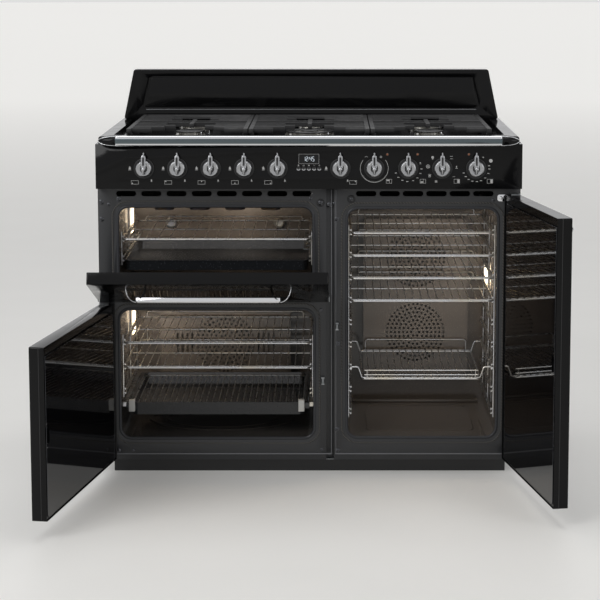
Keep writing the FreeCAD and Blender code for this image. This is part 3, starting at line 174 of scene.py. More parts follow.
def pick(piece, kind, test):
    """Enter edit mode with the vertices, edges or faces selected that pass the test."""
    only(piece)
    bpy.ops.object.mode_set(mode="EDIT")
    bpy.ops.mesh.select_mode(type=kind)
    bpy.ops.mesh.select_all(action="DESELECT")
    shape = bmesh.from_edit_mesh(piece.data)
    for part in {"VERT": shape.verts, "EDGE": shape.edges, "FACE": shape.faces}[kind]:
        if test(part):
            part.select_set(True)
    bmesh.update_edit_mesh(piece.data)


def leave():
    bpy.ops.object.mode_set(mode="OBJECT")


def everything(_):
    return True


def front_face(face):
    return face.normal.y < -0.9


def turned_out(piece):
    """Turn every face outwards."""
    pick(piece, "FACE", everything)
    bpy.ops.mesh.normals_make_consistent(inside=False)
    leave()
    return piece


def modify(piece, kind, **settings):
    """Add a modifier, set it and apply it."""
    only(piece)
    modifier = piece.modifiers.new(kind.title(), kind)
    for key, value in settings.items():
        setattr(modifier, key, value)
    bpy.ops.object.modifier_apply(modifier=modifier.name)
    return piece


def soften(piece, width, segments=2, angle=30):
    """Round the sharp edges and shade the rest smooth."""
    modify(piece, "BEVEL", width=width, segments=segments, limit_method="ANGLE",
           angle_limit=math.radians(angle), use_clamp_overlap=True)
    return smooth(piece)


def smooth(piece, angle=35):
    only(piece)
    bpy.ops.object.shade_smooth_by_angle(angle=math.radians(angle))
    return piece


def join(name, pieces):
    """One object of several; the first one's materials come first."""
    only(pieces[0])
    for piece in pieces:
        piece.select_set(True)
    bpy.ops.object.join()
    pieces[0].name = name
    return pieces[0]


def copied(piece, name, shift=(0, 0, 0), turn=None):
    """Copy with its own mesh, moved and turned in its mesh."""
    twin = piece.copy()
    twin.data = piece.data.copy()
    twin.name = name
    bpy.context.scene.collection.objects.link(twin)
    twin.matrix_world = Matrix.Translation(Vector(shift)) @ (turn or Matrix.Identity(4))
    return settle(twin)


def mirrored(piece, name, x=0.0):
    """Copy on the other side of the plane at x."""
    flip = Matrix.Translation((2 * x, 0, 0)) @ Matrix.Diagonal((-1, 1, 1, 1))
    return turned_out(copied(piece, name, turn=flip))


def discard(*models):
    """Remove models once their copies are made."""
    for model in models:
        bpy.data.objects.remove(model)


def front_disc(name, radius, depth, spot, sides=64):
    """Short cylinder that faces the front, by its middle."""
    return start("cylinder", name, radius=radius, depth=depth, vertices=sides, location=spot,
                 rotation=FACING_FRONT)


def stretched_ball(name, radius, spot, scale, segments=24):
    """Ball stretched along each axis by the scale."""
    return smooth(start("uv_sphere", name, radius=radius, segments=segments, ring_count=segments // 2,
                        location=spot, scale=scale), ROUND_ANGLE)


def cornered_plate(name, low, high, corner, edge):
    """Upright plate with rounded corners and softened edges."""
    plate = block(name, low, high)
    pick(plate, "EDGE", lambda side: abs(side.verts[0].co.y - side.verts[1].co.y) > MM)
    bpy.ops.mesh.bevel(offset=corner, segments=5)
    leave()
    return soften(plate, edge)


def rounded_plate(name, x, z, y, corner, segments=6):
    """Flat rounded rectangle, upright and facing the front."""
    centre = ((x[0] + x[1]) / 2, y, (z[0] + z[1]) / 2)
    plate = start("plane", name, size=1, location=centre, rotation=FACING_FRONT,
                  scale=(x[1] - x[0], z[1] - z[0], 1))
    if corner:
        pick(plate, "VERT", everything)
        bpy.ops.mesh.bevel(offset=corner, segments=segments, affect="VERTICES")
        leave()
    return plate


def thickened(piece, depth):
    """Give a flat plate its depth, towards the back."""
    pick(piece, "FACE", everything)
    bpy.ops.mesh.extrude_region_move(TRANSFORM_OT_translate={"value": (0, depth, 0)})
    leave()
    return turned_out(piece)


def tube(piece, radius, sides=3):
    """Turn the piece's bare edges into a round tube."""
    only(piece)
    bpy.ops.object.convert(target="CURVE")
    piece = bpy.context.object
    piece.data.bevel_depth = radius
    piece.data.bevel_resolution = sides
    piece.data.use_fill_caps = True
    bpy.ops.object.convert(target="MESH")
    return smooth(bpy.context.object, ROUND_ANGLE)


def ring_tube(name, x, z, y, corner, radius, segments=8):
    """Closed tube along a rounded rectangle that stands upright."""
    plate = rounded_plate(name, x, z, y, corner, segments)
    pick(plate, "FACE", everything)
    bpy.ops.mesh.delete(type="ONLY_FACE")
    leave()
    return tube(plate, radius)


def line_tube(name, points, radius, sides=3):
    """Tube through the points, made by extruding a vertex."""
    piece = start("plane", name, size=MM, location=points[0])
    pick(piece, "VERT", everything)
    bpy.ops.mesh.merge(type="CENTER")
    for before, after in zip(points, points[1:]):
        bpy.ops.mesh.extrude_region_move(TRANSFORM_OT_translate={"value": Vector(after) - Vector(before)})
    leave()
    return tube(piece, radius, sides)


def grown(span, by):
    return (span[0] - by, span[1] + by)


def spans(node):
    """The node's x, y and z spans."""
    low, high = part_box(node)
    return [(low[i], high[i]) for i in range(3)]


def mouth(node):
    """Inner x and z spans of an oven, from its enamelled box."""
    x, _, z = spans(node)
    return grown(x, -SHEET), grown(z, -SHEET)


def swing(body):
    """Transform from a door's shut place to its open place at rest."""
    joint = HINGES[body]
    shut = max(joint["range_deg"], key=abs)
    pivot = Vector(joint["pos_m"])
    turn = Matrix.Rotation(math.radians(-shut), 4, Vector(joint["axis"]))
    return Matrix.Translation(pivot) @ turn @ Matrix.Translation(-pivot)


def shut_box(node, body):
    """Spans of a door's node when the door is shut."""
    back = swing(body).inverted()
    points = [back @ vertex.co for vertex in NODES[node].data.vertices]
    return [(min(p[i] for p in points), max(p[i] for p in points)) for i in range(3)]


def opened(piece, body):
    """Carry a piece that was modelled on the shut door to the open door."""
    piece.matrix_world = swing(body)
    return settle(piece)


def merged_copy(node, name):
    """Clean copy of a construction node's mesh, for a piece that keeps its shape."""
    twin = NODES[node].copy()
    twin.data = NODES[node].data.copy()
    twin.parent = None
    twin.name = name
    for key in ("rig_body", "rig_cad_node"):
        del twin[key]
    bpy.context.scene.collection.objects.link(twin)
    twin.matrix_world = Matrix.Identity(4)
    pick(twin, "VERT", everything)
    bpy.ops.mesh.remove_doubles(threshold=0.02 * MM)
    bpy.ops.mesh.dissolve_limited(angle_limit=math.radians(1))
    leave()
    return twin


def place(piece, body, finish, replaced=()):
    """Give the piece its finish and its body, and hide what it stands for."""
    piece.data.materials.clear()
    piece.data.materials.append(FINISHES[finish])
    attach(piece, body)
    if replaced:
        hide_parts(*replaced)
    return piece


# ---- finishes ----
def add_node(tree, kind, inputs=None, **settings):
    """Add a shader node, set it, and set or link its inputs."""
    node = tree.nodes.new("ShaderNode" + kind)
    for name, value in settings.items():
        setattr(node, name, value)
    for name, value in (inputs or {}).items():
        if isinstance(value, bpy.types.NodeSocket):
            tree.links.new(value, node.inputs[name])
        else:
            node.inputs[name].default_value = value
    return node


def new_finish(name, base, roughness, metallic=0.0, **sockets):
    """Material with its main values set; returns it with its tree, shader and object coordinates."""
    material = bpy.data.materials.new(name)
    material.use_nodes = True
    tree = material.node_tree
    shader = next(node for node in tree.nodes if node.type == "BSDF_PRINCIPLED")
    shader.inputs["Base Color"].default_value = tuple(base[:3]) + (1.0,)
    shader.inputs["Roughness"].default_value = roughness
    shader.inputs["Metallic"].default_value = metallic
    for socket, value in sockets.items():
        shader.inputs[socket.replace("_", " ")].default_value = value
    return material, tree, shader, add_node(tree, "TexCoord").outputs["Object"]


def noise_texture(tree, coords, size, detail):
    """Noise whose patches are about the given size, in metres."""
    return add_node(tree, "TexNoise", {"Vector": coords, "Scale": 1 / size, "Detail": detail})


def waviness(tree, shader, coords, size, depth, detail=2.0):
    """Uneven surface: bumps of the given size and depth, in metres."""
    noise = noise_texture(tree, coords, size, detail)
    bump = add_node(tree, "Bump", {"Height": noise.outputs["Fac"], "Strength": 1.0, "Distance": depth})
    tree.links.new(bump.outputs["Normal"], shader.inputs["Normal"])
    return noise


def patchy_roughness(tree, shader, coords, size, low, high):
    """Roughness that drifts between two values, as handled or heated surfaces have."""
    noise = noise_texture(tree, coords, size, 4.0)
    spread = add_node(tree, "MapRange", {"Value": noise.outputs["Fac"], "From Min": 0.35, "From Max": 0.65,
                                         "To Min": low, "To Max": high})
    tree.links.new(spread.outputs["Result"], shader.inputs["Roughness"])


def blended_colour(tree, shader, factor, first, second):
    """Base colour mixed from two by a texture."""
    mix = add_node(tree, "Mix", {0: factor, 6: tuple(first[:3]) + (1,), 7: tuple(second[:3]) + (1,)},
                   data_type="RGBA")
    tree.links.new(mix.outputs[2], shader.inputs["Base Color"])


def threshold(tree, value, low, high):
    return add_node(tree, "MapRange", {"Value": value, "From Min": low, "From Max": high}).outputs["Result"]


def gloss_enamel(name, base):
    """Vitreous enamel, fired on pressed steel: a deep gloss with the slight waviness of the fired coat."""
    material, tree, shader, coords = new_finish(name, base, 0.1, Specular_IOR_Level=0.18)
    waviness(tree, shader, coords, 22 * MM, 0.05 * MM)
    patchy_roughness(tree, shader, coords, 60 * MM, 0.07, 0.16)
    return material


def satin_enamel(name, base):
    """Satin ground-coat enamel: a fine dry grain that spreads highlights, drawn at 1.2 mm to show."""
    material, tree, shader, coords = new_finish(name, base, 0.38)
    grain = waviness(tree, shader, coords, 1.2 * MM, 0.03 * MM, 3.0)
    lighter = [channel * 1.5 + 0.004 for channel in base[:3]]
    blended_colour(tree, shader, threshold(tree, grain.outputs["Fac"], 0.45, 0.75), base, lighter)
    return material


def flecked_enamel(name, base, fleck, fleck_size, roughness):
    """Oven enamel: dark glass coat with pale flecks, drawn coarser than the real 0.3 mm so that they show."""
    material, tree, shader, coords = new_finish(name, base, roughness, Coat_Weight=0.3, Coat_Roughness=0.1)
    waviness(tree, shader, coords, 15 * MM, 0.06 * MM)
    cells = add_node(tree, "TexVoronoi", {"Vector": coords, "Scale": 1 / fleck_size})
    drift = noise_texture(tree, coords, 90 * MM, 3.0)
    spots = threshold(tree, cells.outputs["Distance"], 0.22, 0.12)
    faint = add_node(tree, "Math", {0: spots, 1: threshold(tree, drift.outputs["Fac"], 0.2, 0.9)},
                     operation="MULTIPLY")
    blended_colour(tree, shader, faint.outputs["Value"], base, fleck)
    return material


def zinc_steel(name):
    """Hot-dip galvanised sheet: grey spangle, each crystal catching the light a little differently."""
    material, tree, shader, coords = new_finish(name, linear("#8d9092"), 0.4, 0.9)
    cells = add_node(tree, "TexVoronoi", {"Vector": coords, "Scale": 1 / (14 * MM)})
    blended_colour(tree, shader, cells.outputs["Color"], linear("#7b7e80"), linear("#a4a7a8"))
    patchy_roughness(tree, shader, coords, 20 * MM, 0.32, 0.5)
    return material


def bright_chrome(name, base, low, high, tint=None):
    """Chromium plate on polished steel; oven wire takes a faint straw tint from the heat."""
    material, tree, shader, coords = new_finish(name, base, low, 1.0)
    patchy_roughness(tree, shader, coords, 30 * MM, low, high)
    if tint:
        heat = noise_texture(tree, coords, 120 * MM, 2.0)
        blended_colour(tree, shader, threshold(tree, heat.outputs["Fac"], 0.45, 0.7), base, tint)
    return material


def heated_steel(name):
    """Stainless element sheath after use: blued and browned in bands."""
    material, tree, shader, coords = new_finish(name, linear("#5c5550"), 0.35, 1.0)
    heat = noise_texture(tree, coords, 45 * MM, 3.0)
    bands = threshold(tree, heat.outputs["Fac"], 0.35, 0.65)
    blended_colour(tree, shader, bands, linear("#6b5a46"), linear("#55596a"))
    return material


def cast_metal(name, base, grain, depth, low, high, metallic=0.0):
    """Sand-cast surface under its coat: a coarse pebbled grain."""
    material, tree, shader, coords = new_finish(name, base, high, metallic)
    waviness(tree, shader, coords, grain, depth, 4.0)
    patchy_roughness(tree, shader, coords, 25 * MM, low, high)
    return material


def satin_metal(name, base):
    """Satin-plated zinc: a soft sheen from fine lapping, drawn at 0.8 mm to show."""
    material, tree, shader, coords = new_finish(name, base, 0.26, 1.0)
    waviness(tree, shader, coords, 0.8 * MM, 0.006 * MM, 2.0)
    patchy_roughness(tree, shader, coords, 12 * MM, 0.2, 0.32)
    return material


def moulded_plastic(name, base, roughness=0.45):
    """Injection-moulded plastic with a fine spark-eroded texture, drawn at 1 mm to show."""
    material, tree, shader, coords = new_finish(name, base, roughness)
    waviness(tree, shader, coords, 1.0 * MM, 0.015 * MM, 2.0)
    return material


def float_glass(name, base, roughness):
    """Tinted float glass with a dark print behind it: a mirror-flat surface with faint wipe marks."""
    material, tree, shader, coords = new_finish(name, base, roughness, IOR=1.52, Specular_IOR_Level=0.3)
    patchy_roughness(tree, shader, coords, 150 * MM, roughness, roughness + 0.04)
    return material


def braided_seal(name):
    """Knitted glass-fibre door seal: crossing yarns about 2 mm apart."""
    material, tree, shader, coords = new_finish(name, linear("#3f3e3c"), 0.8)
    wave = add_node(tree, "TexWave", {"Vector": coords, "Scale": 1 / (6.3 * 2 * MM), "Distortion": 2.0},
                    bands_direction="DIAGONAL")
    bump = add_node(tree, "Bump", {"Height": wave.outputs["Fac"], "Strength": 0.8, "Distance": 0.3 * MM})
    tree.links.new(bump.outputs["Normal"], shader.inputs["Normal"])
    blended_colour(tree, shader, wave.outputs["Fac"], linear("#2c2b2a"), linear("#5a5855"))
    return material


def lit_glass(name, base, strength):
    """Frosted glass over a lit bulb: glows more where the bulb is, by a soft mottled pattern."""
    material, tree, shader, coords = new_finish(name, base, 0.3)
    glow = noise_texture(tree, coords, 10 * MM, 1.0)
    blended_colour(tree, shader, glow.outputs["Fac"], base, [min(1, channel * 1.2) for channel in base[:3]])
    shader.inputs["Emission Color"].default_value = tuple(base[:3]) + (1,)
    shader.inputs["Emission Strength"].default_value = strength
    return material


def printed_ink(name, base):
    """Fired ceramic ink on the panel: flat, with a trace of the screen's mesh."""
    material, tree, shader, coords = new_finish(name, base, 0.5)
    mesh = add_node(tree, "TexNoise", {"Vector": coords, "Scale": 1 / (1.5 * MM)})
    blended_colour(tree, shader, mesh.outputs["Fac"], base, [channel * 0.8 for channel in base[:3]])
    return material


FINISHES = {}


def make_finishes(colours):
    """Every finish of the cooker, by name."""
    FINISHES.update({
        "gloss enamel": gloss_enamel("gloss_enamel_on_steel", colours.gloss_black),
        "satin enamel": satin_enamel("satin_ground_enamel", colours.satin_black),
        "lip enamel": gloss_enamel("rolled_lip_enamel", linear("#3c3d40")),
        # Pale enamel: painted highlights along rounded folds and edges, where the light catches them.
        "edge enamel": gloss_enamel("pale_worn_enamel_edge", linear("#747578")),
        "dark screw": satin_metal("blackened_steel", linear("#4a4b4e")),
        # Darker steel band down the towel rail's front: a painted dark reflection in the round bar.
        "rail band": bright_chrome("ground_steel_band", linear("#5b6468"), 0.1, 0.16),
        "casing enamel": satin_enamel("casing_enamel", linear("#131314")),
        "oven enamel": flecked_enamel("oven_enamel", colours.oven_enamel, linear("#7d766c"), 5 * MM, 0.22),
        "tray enamel": flecked_enamel("speckled_tray_enamel", linear("#212326"), linear("#5d5e62"), 6 * MM,
                                      0.18),
        "zinc": zinc_steel("galvanised_sheet"),
        "wire chrome": bright_chrome("chromed_wire", colours.chrome, 0.24, 0.36, linear("#dcd5c6")),
        "bar chrome": bright_chrome("polished_chrome", colours.chrome, 0.04, 0.1),
        "element": heated_steel("heated_element_sheath"),
        "burner alloy": cast_metal("cast_aluminium", linear("#a4a29c"), 2.5 * MM, 0.05 * MM, 0.3, 0.42, 1.0),
        "cast iron": cast_metal("enamelled_cast_iron", colours.cast_iron, 1.4 * MM, 0.08 * MM, 0.42, 0.6),
        "cap enamel": cast_metal("black_cap_enamel", linear("#0e0e0f"), 3 * MM, 0.02 * MM, 0.25, 0.4),
        "silver": satin_metal("satin_plated_zinc", colours.silver),
        "brass": satin_metal("turned_brass", linear("#b08d4c")),
        "plastic": moulded_plastic("moulded_black_plastic", linear("#101011")),
        "pale plastic": moulded_plastic("pale_nylon_block", linear("#c9c8c4"), 0.5),
        "door glass": float_glass("tinted_door_glass", linear("#08080a"), 0.02),
        "display glass": float_glass("smoked_display_glass", linear("#05060a"), 0.05),
        "seal": braided_seal("braided_door_seal"),
        "lamp glass": lit_glass("lit_lamp_glass", colours.lamp, 1.2),
        "digits": lit_glass("lit_display_digits", linear("#c9d2da"), 0.5),
        "pilot": lit_glass("amber_pilot_lens", linear("#8c5a3e"), 0.04),
        "ink": printed_ink("panel_print", colours.ink),
    })


NODE_FINISHES = {
    "gloss enamel": ("hob_top", "control_panel", "splashback"),
    "satin enamel": ("front_frame_left", "front_frame_right"),
    "casing enamel": ("casing_panels", "plinth", "fan_motors", "main_fan", "tall_fan_upper",
                      "tall_fan_lower"),
    "oven enamel": ("grill_cavity", "main_cavity", "tall_cavity", "fan_covers"),
    "tray enamel": ("grill_tray", "main_tray"),
    "zinc": ("base_pan", "levelling_feet", "hinge_brackets"),
    "wire chrome": ("side_ladders", "grill_rack", "main_rack_upper", "main_rack_lower", "tall_rack_1",
                    "tall_rack_2", "tall_rack_3", "tall_rack_4", "tall_basket"),
    "bar chrome": ("towel_rail",),
    "element": ("heating_elements",),
    "burner alloy": ("burners",),
    "cast iron": ("pan_supports",),
    "silver": tuple(KNOB_NODES + BUTTON_NODES),
    "brass": ("gas_manifold",),
    "plastic": ("oven_switches",),
    "display glass": ("timer_display",),
}


def finish_nodes():
    for finish, names in NODE_FINISHES.items():
        for name in names:
            dress(NODES[name], FINISHES[finish])
    for door in DOORS:
        dress(NODES[door + "_shell"], FINISHES["gloss enamel"])
        dress(NODES[door + "_glass"], FINISHES["door glass"])
        dress(NODES[door + "_handle"], FINISHES["bar chrome"])


def dress(node, finish):
    for slot in node.material_slots:
        slot.material = finish


# ---- stage ----
CAMERA_PLACE = Vector((0.0606, -5.3075, 1.3467))
CAMERA_PITCH = 7.6                 # degrees below the horizon
CAMERA_LENS = 117.2                # millimetres, on a 36 mm wide sensor
CAMERA_SHIFT = (-0.054, -0.1304)
FLOOR_RADIUS = 60.0
FLOOR_GLOW = (0.22, 0.68)          # added to the floor as it is seen, near and far, to meet the background
FLOOR_FADE = (1.5, 14.0)           # metres from the object's middle, near and far
WORLD_LIGHT = 0.42
WORLD_BACKGROUND = 0.85
SOFTBOXES = (                      # name, place, aim, size, watts
    ("key_softbox", (-2.8, -3.6, 3.4), (0, 0, 0.4), 2.4, 85),
    ("fill_softbox", (3.6, -3.0, 1.9), (0, 0, 0.5), 2.0, 30),
    ("top_softbox", (0, 0.2, 3.6), (0, 0, 0.9), 2.6, 45),
)
OVEN_GLOW = (                      # node, share across, share of depth, share of height, watts
    ("grill_cavity", 0.1, 0.62, 0.6, 1.3), ("grill_cavity", 0.6, 0.7, 0.75, 1.5),
    ("main_cavity", 0.1, 0.65, 0.72, 1.4), ("main_cavity", 0.5, 0.45, 0.85, 1.5),
    ("tall_cavity", 0.88, 0.5, 0.66, 1.7), ("tall_cavity", 0.5, 0.4, 0.9, 1.6),
    ("tall_cavity", 0.5, 0.55, 0.35, 0.5),
)
GLOW_COLOUR = "#ffecd6"
GLOW_SOFTNESS = 0.05               # metres


def seen_rays(tree):
    """1 for what the view, metal and glass see, 0 for what lights the object."""
    path = add_node(tree, "LightPath")
    seen = add_node(tree, "Math", {0: path.outputs["Is Camera Ray"], 1: path.outputs["Is Glossy Ray"]},
                    operation="MAXIMUM")
    seen = add_node(tree, "Math", {0: seen.outputs["Value"], 1: path.outputs["Is Transmission Ray"]},
                    operation="MAXIMUM")
    return seen.outputs["Value"]


def make_floor(colours):
    """Large plain floor with a faint mottle."""
    floor = start("circle", "studio_floor", radius=FLOOR_RADIUS, vertices=64, fill_type="NGON")
    material, tree, shader, coords = new_finish("studio_floor_paint", colours.floor, 0.5)
    mottle = add_node(tree, "TexNoise", {"Vector": coords, "Scale": 3.0, "Detail": 4.0})
    darker = [channel * 0.94 for channel in colours.floor]
    blended_colour(tree, shader, mottle.outputs["Fac"], colours.floor, darker)
    distance = add_node(tree, "VectorMath", {0: coords}, operation="LENGTH")
    near_to_far = add_node(tree, "MapRange", {"Value": distance.outputs["Value"],
                                              "From Min": FLOOR_FADE[0], "From Max": FLOOR_FADE[1],
                                              "To Min": FLOOR_GLOW[0], "To Max": FLOOR_GLOW[1]})
    seen = add_node(tree, "Math", {0: seen_rays(tree), 1: near_to_far.outputs["Result"]},
                    operation="MULTIPLY")
    shader.inputs["Emission Color"].default_value = tuple(colours.floor) + (1,)
    tree.links.new(seen.outputs["Value"], shader.inputs["Emission Strength"])
    floor.data.materials.append(material)


def make_world():
    """Even light from all round; the view, metal and glass see it paler than it lights the object."""
    world = bpy.data.worlds.new("studio_world")
    bpy.context.scene.world = world
    world.use_nodes = True
    tree = world.node_tree
    tree.nodes.clear()
    strength = add_node(tree, "MapRange", {"Value": seen_rays(tree), "To Min": WORLD_LIGHT,
                                           "To Max": WORLD_BACKGROUND})
    background = add_node(tree, "Background", {"Color": linear("#f2f2f3"),
                                               "Strength": strength.outputs["Result"]})
    add_node(tree, "OutputWorld", {"Surface": background.outputs["Background"]})


def new_light(kind, name, spot, watts):
    bpy.ops.object.light_add(type=kind, location=spot)
    light = bpy.context.object
    light.name = name
    light.data.energy = watts
    return light


def make_lights():
    """Softboxes round the object, and soft glows in each oven, as from its lamp."""
    for name, spot, aim, size, watts in SOFTBOXES:
        light = new_light("AREA", name, spot, watts)
        light.rotation_euler = (Vector(aim) - Vector(spot)).to_track_quat("-Z", "Y").to_euler()
        light.data.size = size
    for number, (node, *shares, watts) in enumerate(OVEN_GLOW, 1):
        spot = [low + (high - low) * share for (low, high), share in zip(spans(node), shares)]
        light = new_light("POINT", "oven_glow_%d" % number, spot, watts)
        light.data.color = linear(GLOW_COLOUR)[:3]
        light.data.shadow_soft_size = GLOW_SOFTNESS
        light.visible_glossy = False


def make_camera():
    bpy.ops.object.camera_add(location=CAMERA_PLACE, rotation=(math.radians(90 - CAMERA_PITCH), 0, 0))
    camera = bpy.context.object
    camera.name = "photo_camera"
    camera.data.lens = CAMERA_LENS
    camera.data.shift_x, camera.data.shift_y = CAMERA_SHIFT
    bpy.context.scene.camera = camera
    bpy.context.scene.view_settings.view_transform = "Standard"


# ---- add-on classes ----
class CookerPiece:
    """What every piece's operator shares."""
    bl_options = {"REGISTER", "UNDO"}


class COOKER_OT_stage(CookerPiece, bpy.types.Operator):
    """Set up the floor, the lights and the camera at the photograph's angle"""
    bl_idname = "cooker.stage"
    bl_label = "Stage"

    def execute(self, context):
        make_camera()
        make_floor(context.scene.cooker_colours)
        make_world()
        make_lights()
        return {"FINISHED"}


class COOKER_OT_finishes(CookerPiece, bpy.types.Operator):
    """Make the finishes and give the construction model its own"""
    bl_idname = "cooker.finishes"
    bl_label = "Finishes"

    def execute(self, context):
        make_finishes(context.scene.cooker_colours)
        finish_nodes()
        return {"FINISHED"}


# ---- knobs and timer buttons ----
DIAL_DEPTH, DIAL_OFF = 9 * MM, 3 * MM   # dial's depth and its gap to the panel
BEZEL_DEPTH, BEZEL_OFF = 3 * MM, 0.6 * MM
LEVER_FACE = 24 * MM                    # how far the lever stands out from the panel
NOSE_RADIUS = 6.4 * MM
NOSE_TAPER_RINGS = range(9, 16)         # rings of the ball below its middle, which are drawn to a point


def knob_dial(sizes, x, z):
    """Silver dial with a bevelled rim and a dished face."""
    dial = front_disc("knob_dial", sizes.knob_radius, DIAL_DEPTH, (x, FRONT - DIAL_OFF - DIAL_DEPTH / 2, z))
    pick(dial, "FACE", front_face)
    bpy.ops.mesh.inset(thickness=2.6 * MM, depth=2.4 * MM)
    bpy.ops.mesh.inset(thickness=1.6 * MM, depth=0)
    bpy.ops.mesh.inset(thickness=1.5 * MM, depth=-0.5 * MM)
    leave()
    return soften(dial, 0.5 * MM)


def leaning_bar(name, x, z, y, corner, depth, recede):
    """Rounded upright bar whose top end leans back towards the panel."""
    bar = thickened(rounded_plate(name, x, z, y, corner), depth)
    middle = sum(z) / 2
    pick(bar, "VERT", lambda vertex: vertex.co.z > middle and vertex.co.y < y + depth / 2)
    bpy.ops.transform.translate(value=(0, recede, 0))
    leave()
    return bar


def knob_lever(sizes, x, z):
    """Raised grip: an arm that reaches past the dial, a drop-shaped nose and a short pointer."""
    half = sizes.lever_width / 2
    reach = z + sizes.lever_reach
    arm = leaning_bar("knob_lever", grown((x, x), half), (z - 5 * MM, reach - MM), FRONT - LEVER_FACE,
                      half - 0.1 * MM, 12 * MM, 6 * MM)
    pointer = leaning_bar("knob_pointer", grown((x, x), 1.6 * MM), (z + 25 * MM, reach + 5 * MM),
                          FRONT - LEVER_FACE + 8 * MM, 1.5 * MM, 5 * MM, 2 * MM)
    nose = start("uv_sphere", "knob_nose", radius=NOSE_RADIUS, segments=32, ring_count=16)
    for below, ring_number in enumerate(NOSE_TAPER_RINGS, 1):
        level = NOSE_RADIUS * math.cos(math.pi * ring_number / 16)
        pick(nose, "VERT", lambda vertex: abs(vertex.co.z - level) < 0.05 * MM)
        bpy.ops.transform.resize(value=(1 - 0.07 * below, 1 - 0.04 * below, 1))
        bpy.ops.transform.translate(value=(0, 0, -0.9 * MM * below))
        leave()
    nose.matrix_world = (Matrix.Translation((x, FRONT - LEVER_FACE - 0.2 * MM, z))
                         @ Matrix.Diagonal((1, 0.95, 1, 1)))
    settle(nose)
    return join("knob_lever", [soften(arm, 1.4 * MM), soften(pointer, 0.5 * MM), smooth(nose, ROUND_ANGLE)])


def knob_inlay(sizes, x, z):
    """Painted shade in black: a line down the arm for the shade in its groove, and a plate round the nose for
    the shade between lever and dial.
    """
    line = leaning_bar("knob_inlay", grown((x, x), 2.4 * MM), (z + 9 * MM, z + sizes.lever_reach - 6 * MM),
                       FRONT - LEVER_FACE + 0.4 * MM, 2.3 * MM, 2 * MM, 4.2 * MM)
    gap = thickened(rounded_plate("knob_gap", grown((x, x), 9 * MM), (z - 8 * MM, z + 9.5 * MM),
                                  FRONT - 14.6 * MM, 6 * MM), 1.5 * MM)
    return join("knob_inlay", [line, gap])


def knob_bezel(sizes, x, z):
    """Black ring that stands off the panel round the dial."""
    bezel = front_disc("knob_bezel", sizes.bezel_radius, BEZEL_DEPTH,
                       (x, FRONT - BEZEL_OFF - BEZEL_DEPTH / 2, z))
    pick(bezel, "FACE", front_face)
    bpy.ops.mesh.inset(thickness=1.6 * MM, depth=0.6 * MM)
    bpy.ops.mesh.inset(thickness=2 * MM, depth=-0.6 * MM)
    leave()
    return soften(bezel, 0.4 * MM)


class COOKER_OT_knobs(CookerPiece, bpy.types.Operator):
    """Control knobs: black bezel, silver dial, lever, and black pieces of painted shade on the lever and
    round its nose
    """
    bl_idname = "cooker.knobs"
    bl_label = "Control knobs"

    def execute(self, context):
        sizes = context.scene.cooker_sizes
        x, _, z = HINGES[KNOB_NODES[0]]["pos_m"]
        parts = ((knob_dial, "satin_silver", "silver"), (knob_lever, "satin_silver", "silver"),
                 (knob_inlay, "black_plastic", "plastic"), (knob_bezel, "black_plastic", "plastic"))
        for build, slot, finish in parts:
            model = build(sizes, x, z)
            for node in KNOB_NODES:
                shift = (HINGES[node]["pos_m"][0] - x, 0, 0)
                twin = copied(model, "%s_%s" % (node, build.__name__.split("_")[1]), shift)
                place(twin, node, finish, [node] if build is knob_dial else ())
            discard(model)
        return {"FINISHED"}


BUTTON_RADIUS = 5.6 * MM


class COOKER_OT_buttons(CookerPiece, bpy.types.Operator):
    """Timer push buttons with a dished face and a silver crescent of painted highlight on the lower rim"""
    bl_idname = "cooker.buttons"
    bl_label = "Timer buttons"

    def execute(self, context):
        x, y, z = [(low + high) / 2 for low, high in spans(BUTTON_NODES[0])]
        front, back = spans(BUTTON_NODES[0])[1]
        cap = front_disc("button_cap", BUTTON_RADIUS, back - front, (x, y, z), 32)
        pick(cap, "FACE", front_face)
        bpy.ops.mesh.inset(thickness=0.7 * MM, depth=0)
        bpy.ops.mesh.inset(thickness=3 * MM, depth=-1.2 * MM)
        leave()
        soften(cap, 0.4 * MM)
        # Silver crescent on the lower rim of the black cap: a painted highlight where the dished rim catches
        # the light.
        highlight_crescent = thickened(ring(x / MM, z / MM, 5.2, 2.6, (95, 265), y=front - FRONT - 0.3 * MM), MM)
        for node in BUTTON_NODES:
            shift = (sum(spans(node)[0]) / 2 - x, 0, 0)
            place(copied(cap, node + "_cap", shift), node, "plastic", [node])
            place(copied(highlight_crescent, node + "_mark", shift), node, "silver")
        discard(cap, highlight_crescent)
        return {"FINISHED"}


# ---- panel print, display and pilots ----
WHOLE = (0, 360)                 # span of a closed ring, in degrees


def dot(x, z, radius, sides=16, y=0.0):
    """Flat printed disc on the panel; x and z in millimetres."""
    return start("circle", "mark", radius=radius * MM, vertices=sides, fill_type="NGON",
                 location=(x * MM, FRONT + y, z * MM), rotation=FACING_FRONT)


def bar(x, z, width, height, turn=0.0, y=0.0):
    return start("plane", "mark", size=1, location=(x * MM, FRONT + y, z * MM),
                 rotation=(QUARTER, math.radians(turn), 0), scale=(width * MM, height * MM, 1))


def ring(x, z, radius, width, span=WHOLE, sides=48, y=0.0):
    """Flat printed ring, or the part of it between two clockwise angles from the top."""
    mark = dot(x, z, radius, sides, y)
    pick(mark, "FACE", everything)
    bpy.ops.mesh.inset(thickness=width * MM, depth=0)
    bpy.ops.mesh.delete(type="FACE")
    leave()
    if span != WHOLE:
        def outside(face):
            spot = face.calc_center_median()
            angle = math.degrees(math.atan2(spot.x - x * MM, spot.z - z * MM)) % 360
            return not span[0] <= angle <= span[1]
        pick(mark, "FACE", outside)
        bpy.ops.mesh.delete(type="FACE")
        leave()
    return mark


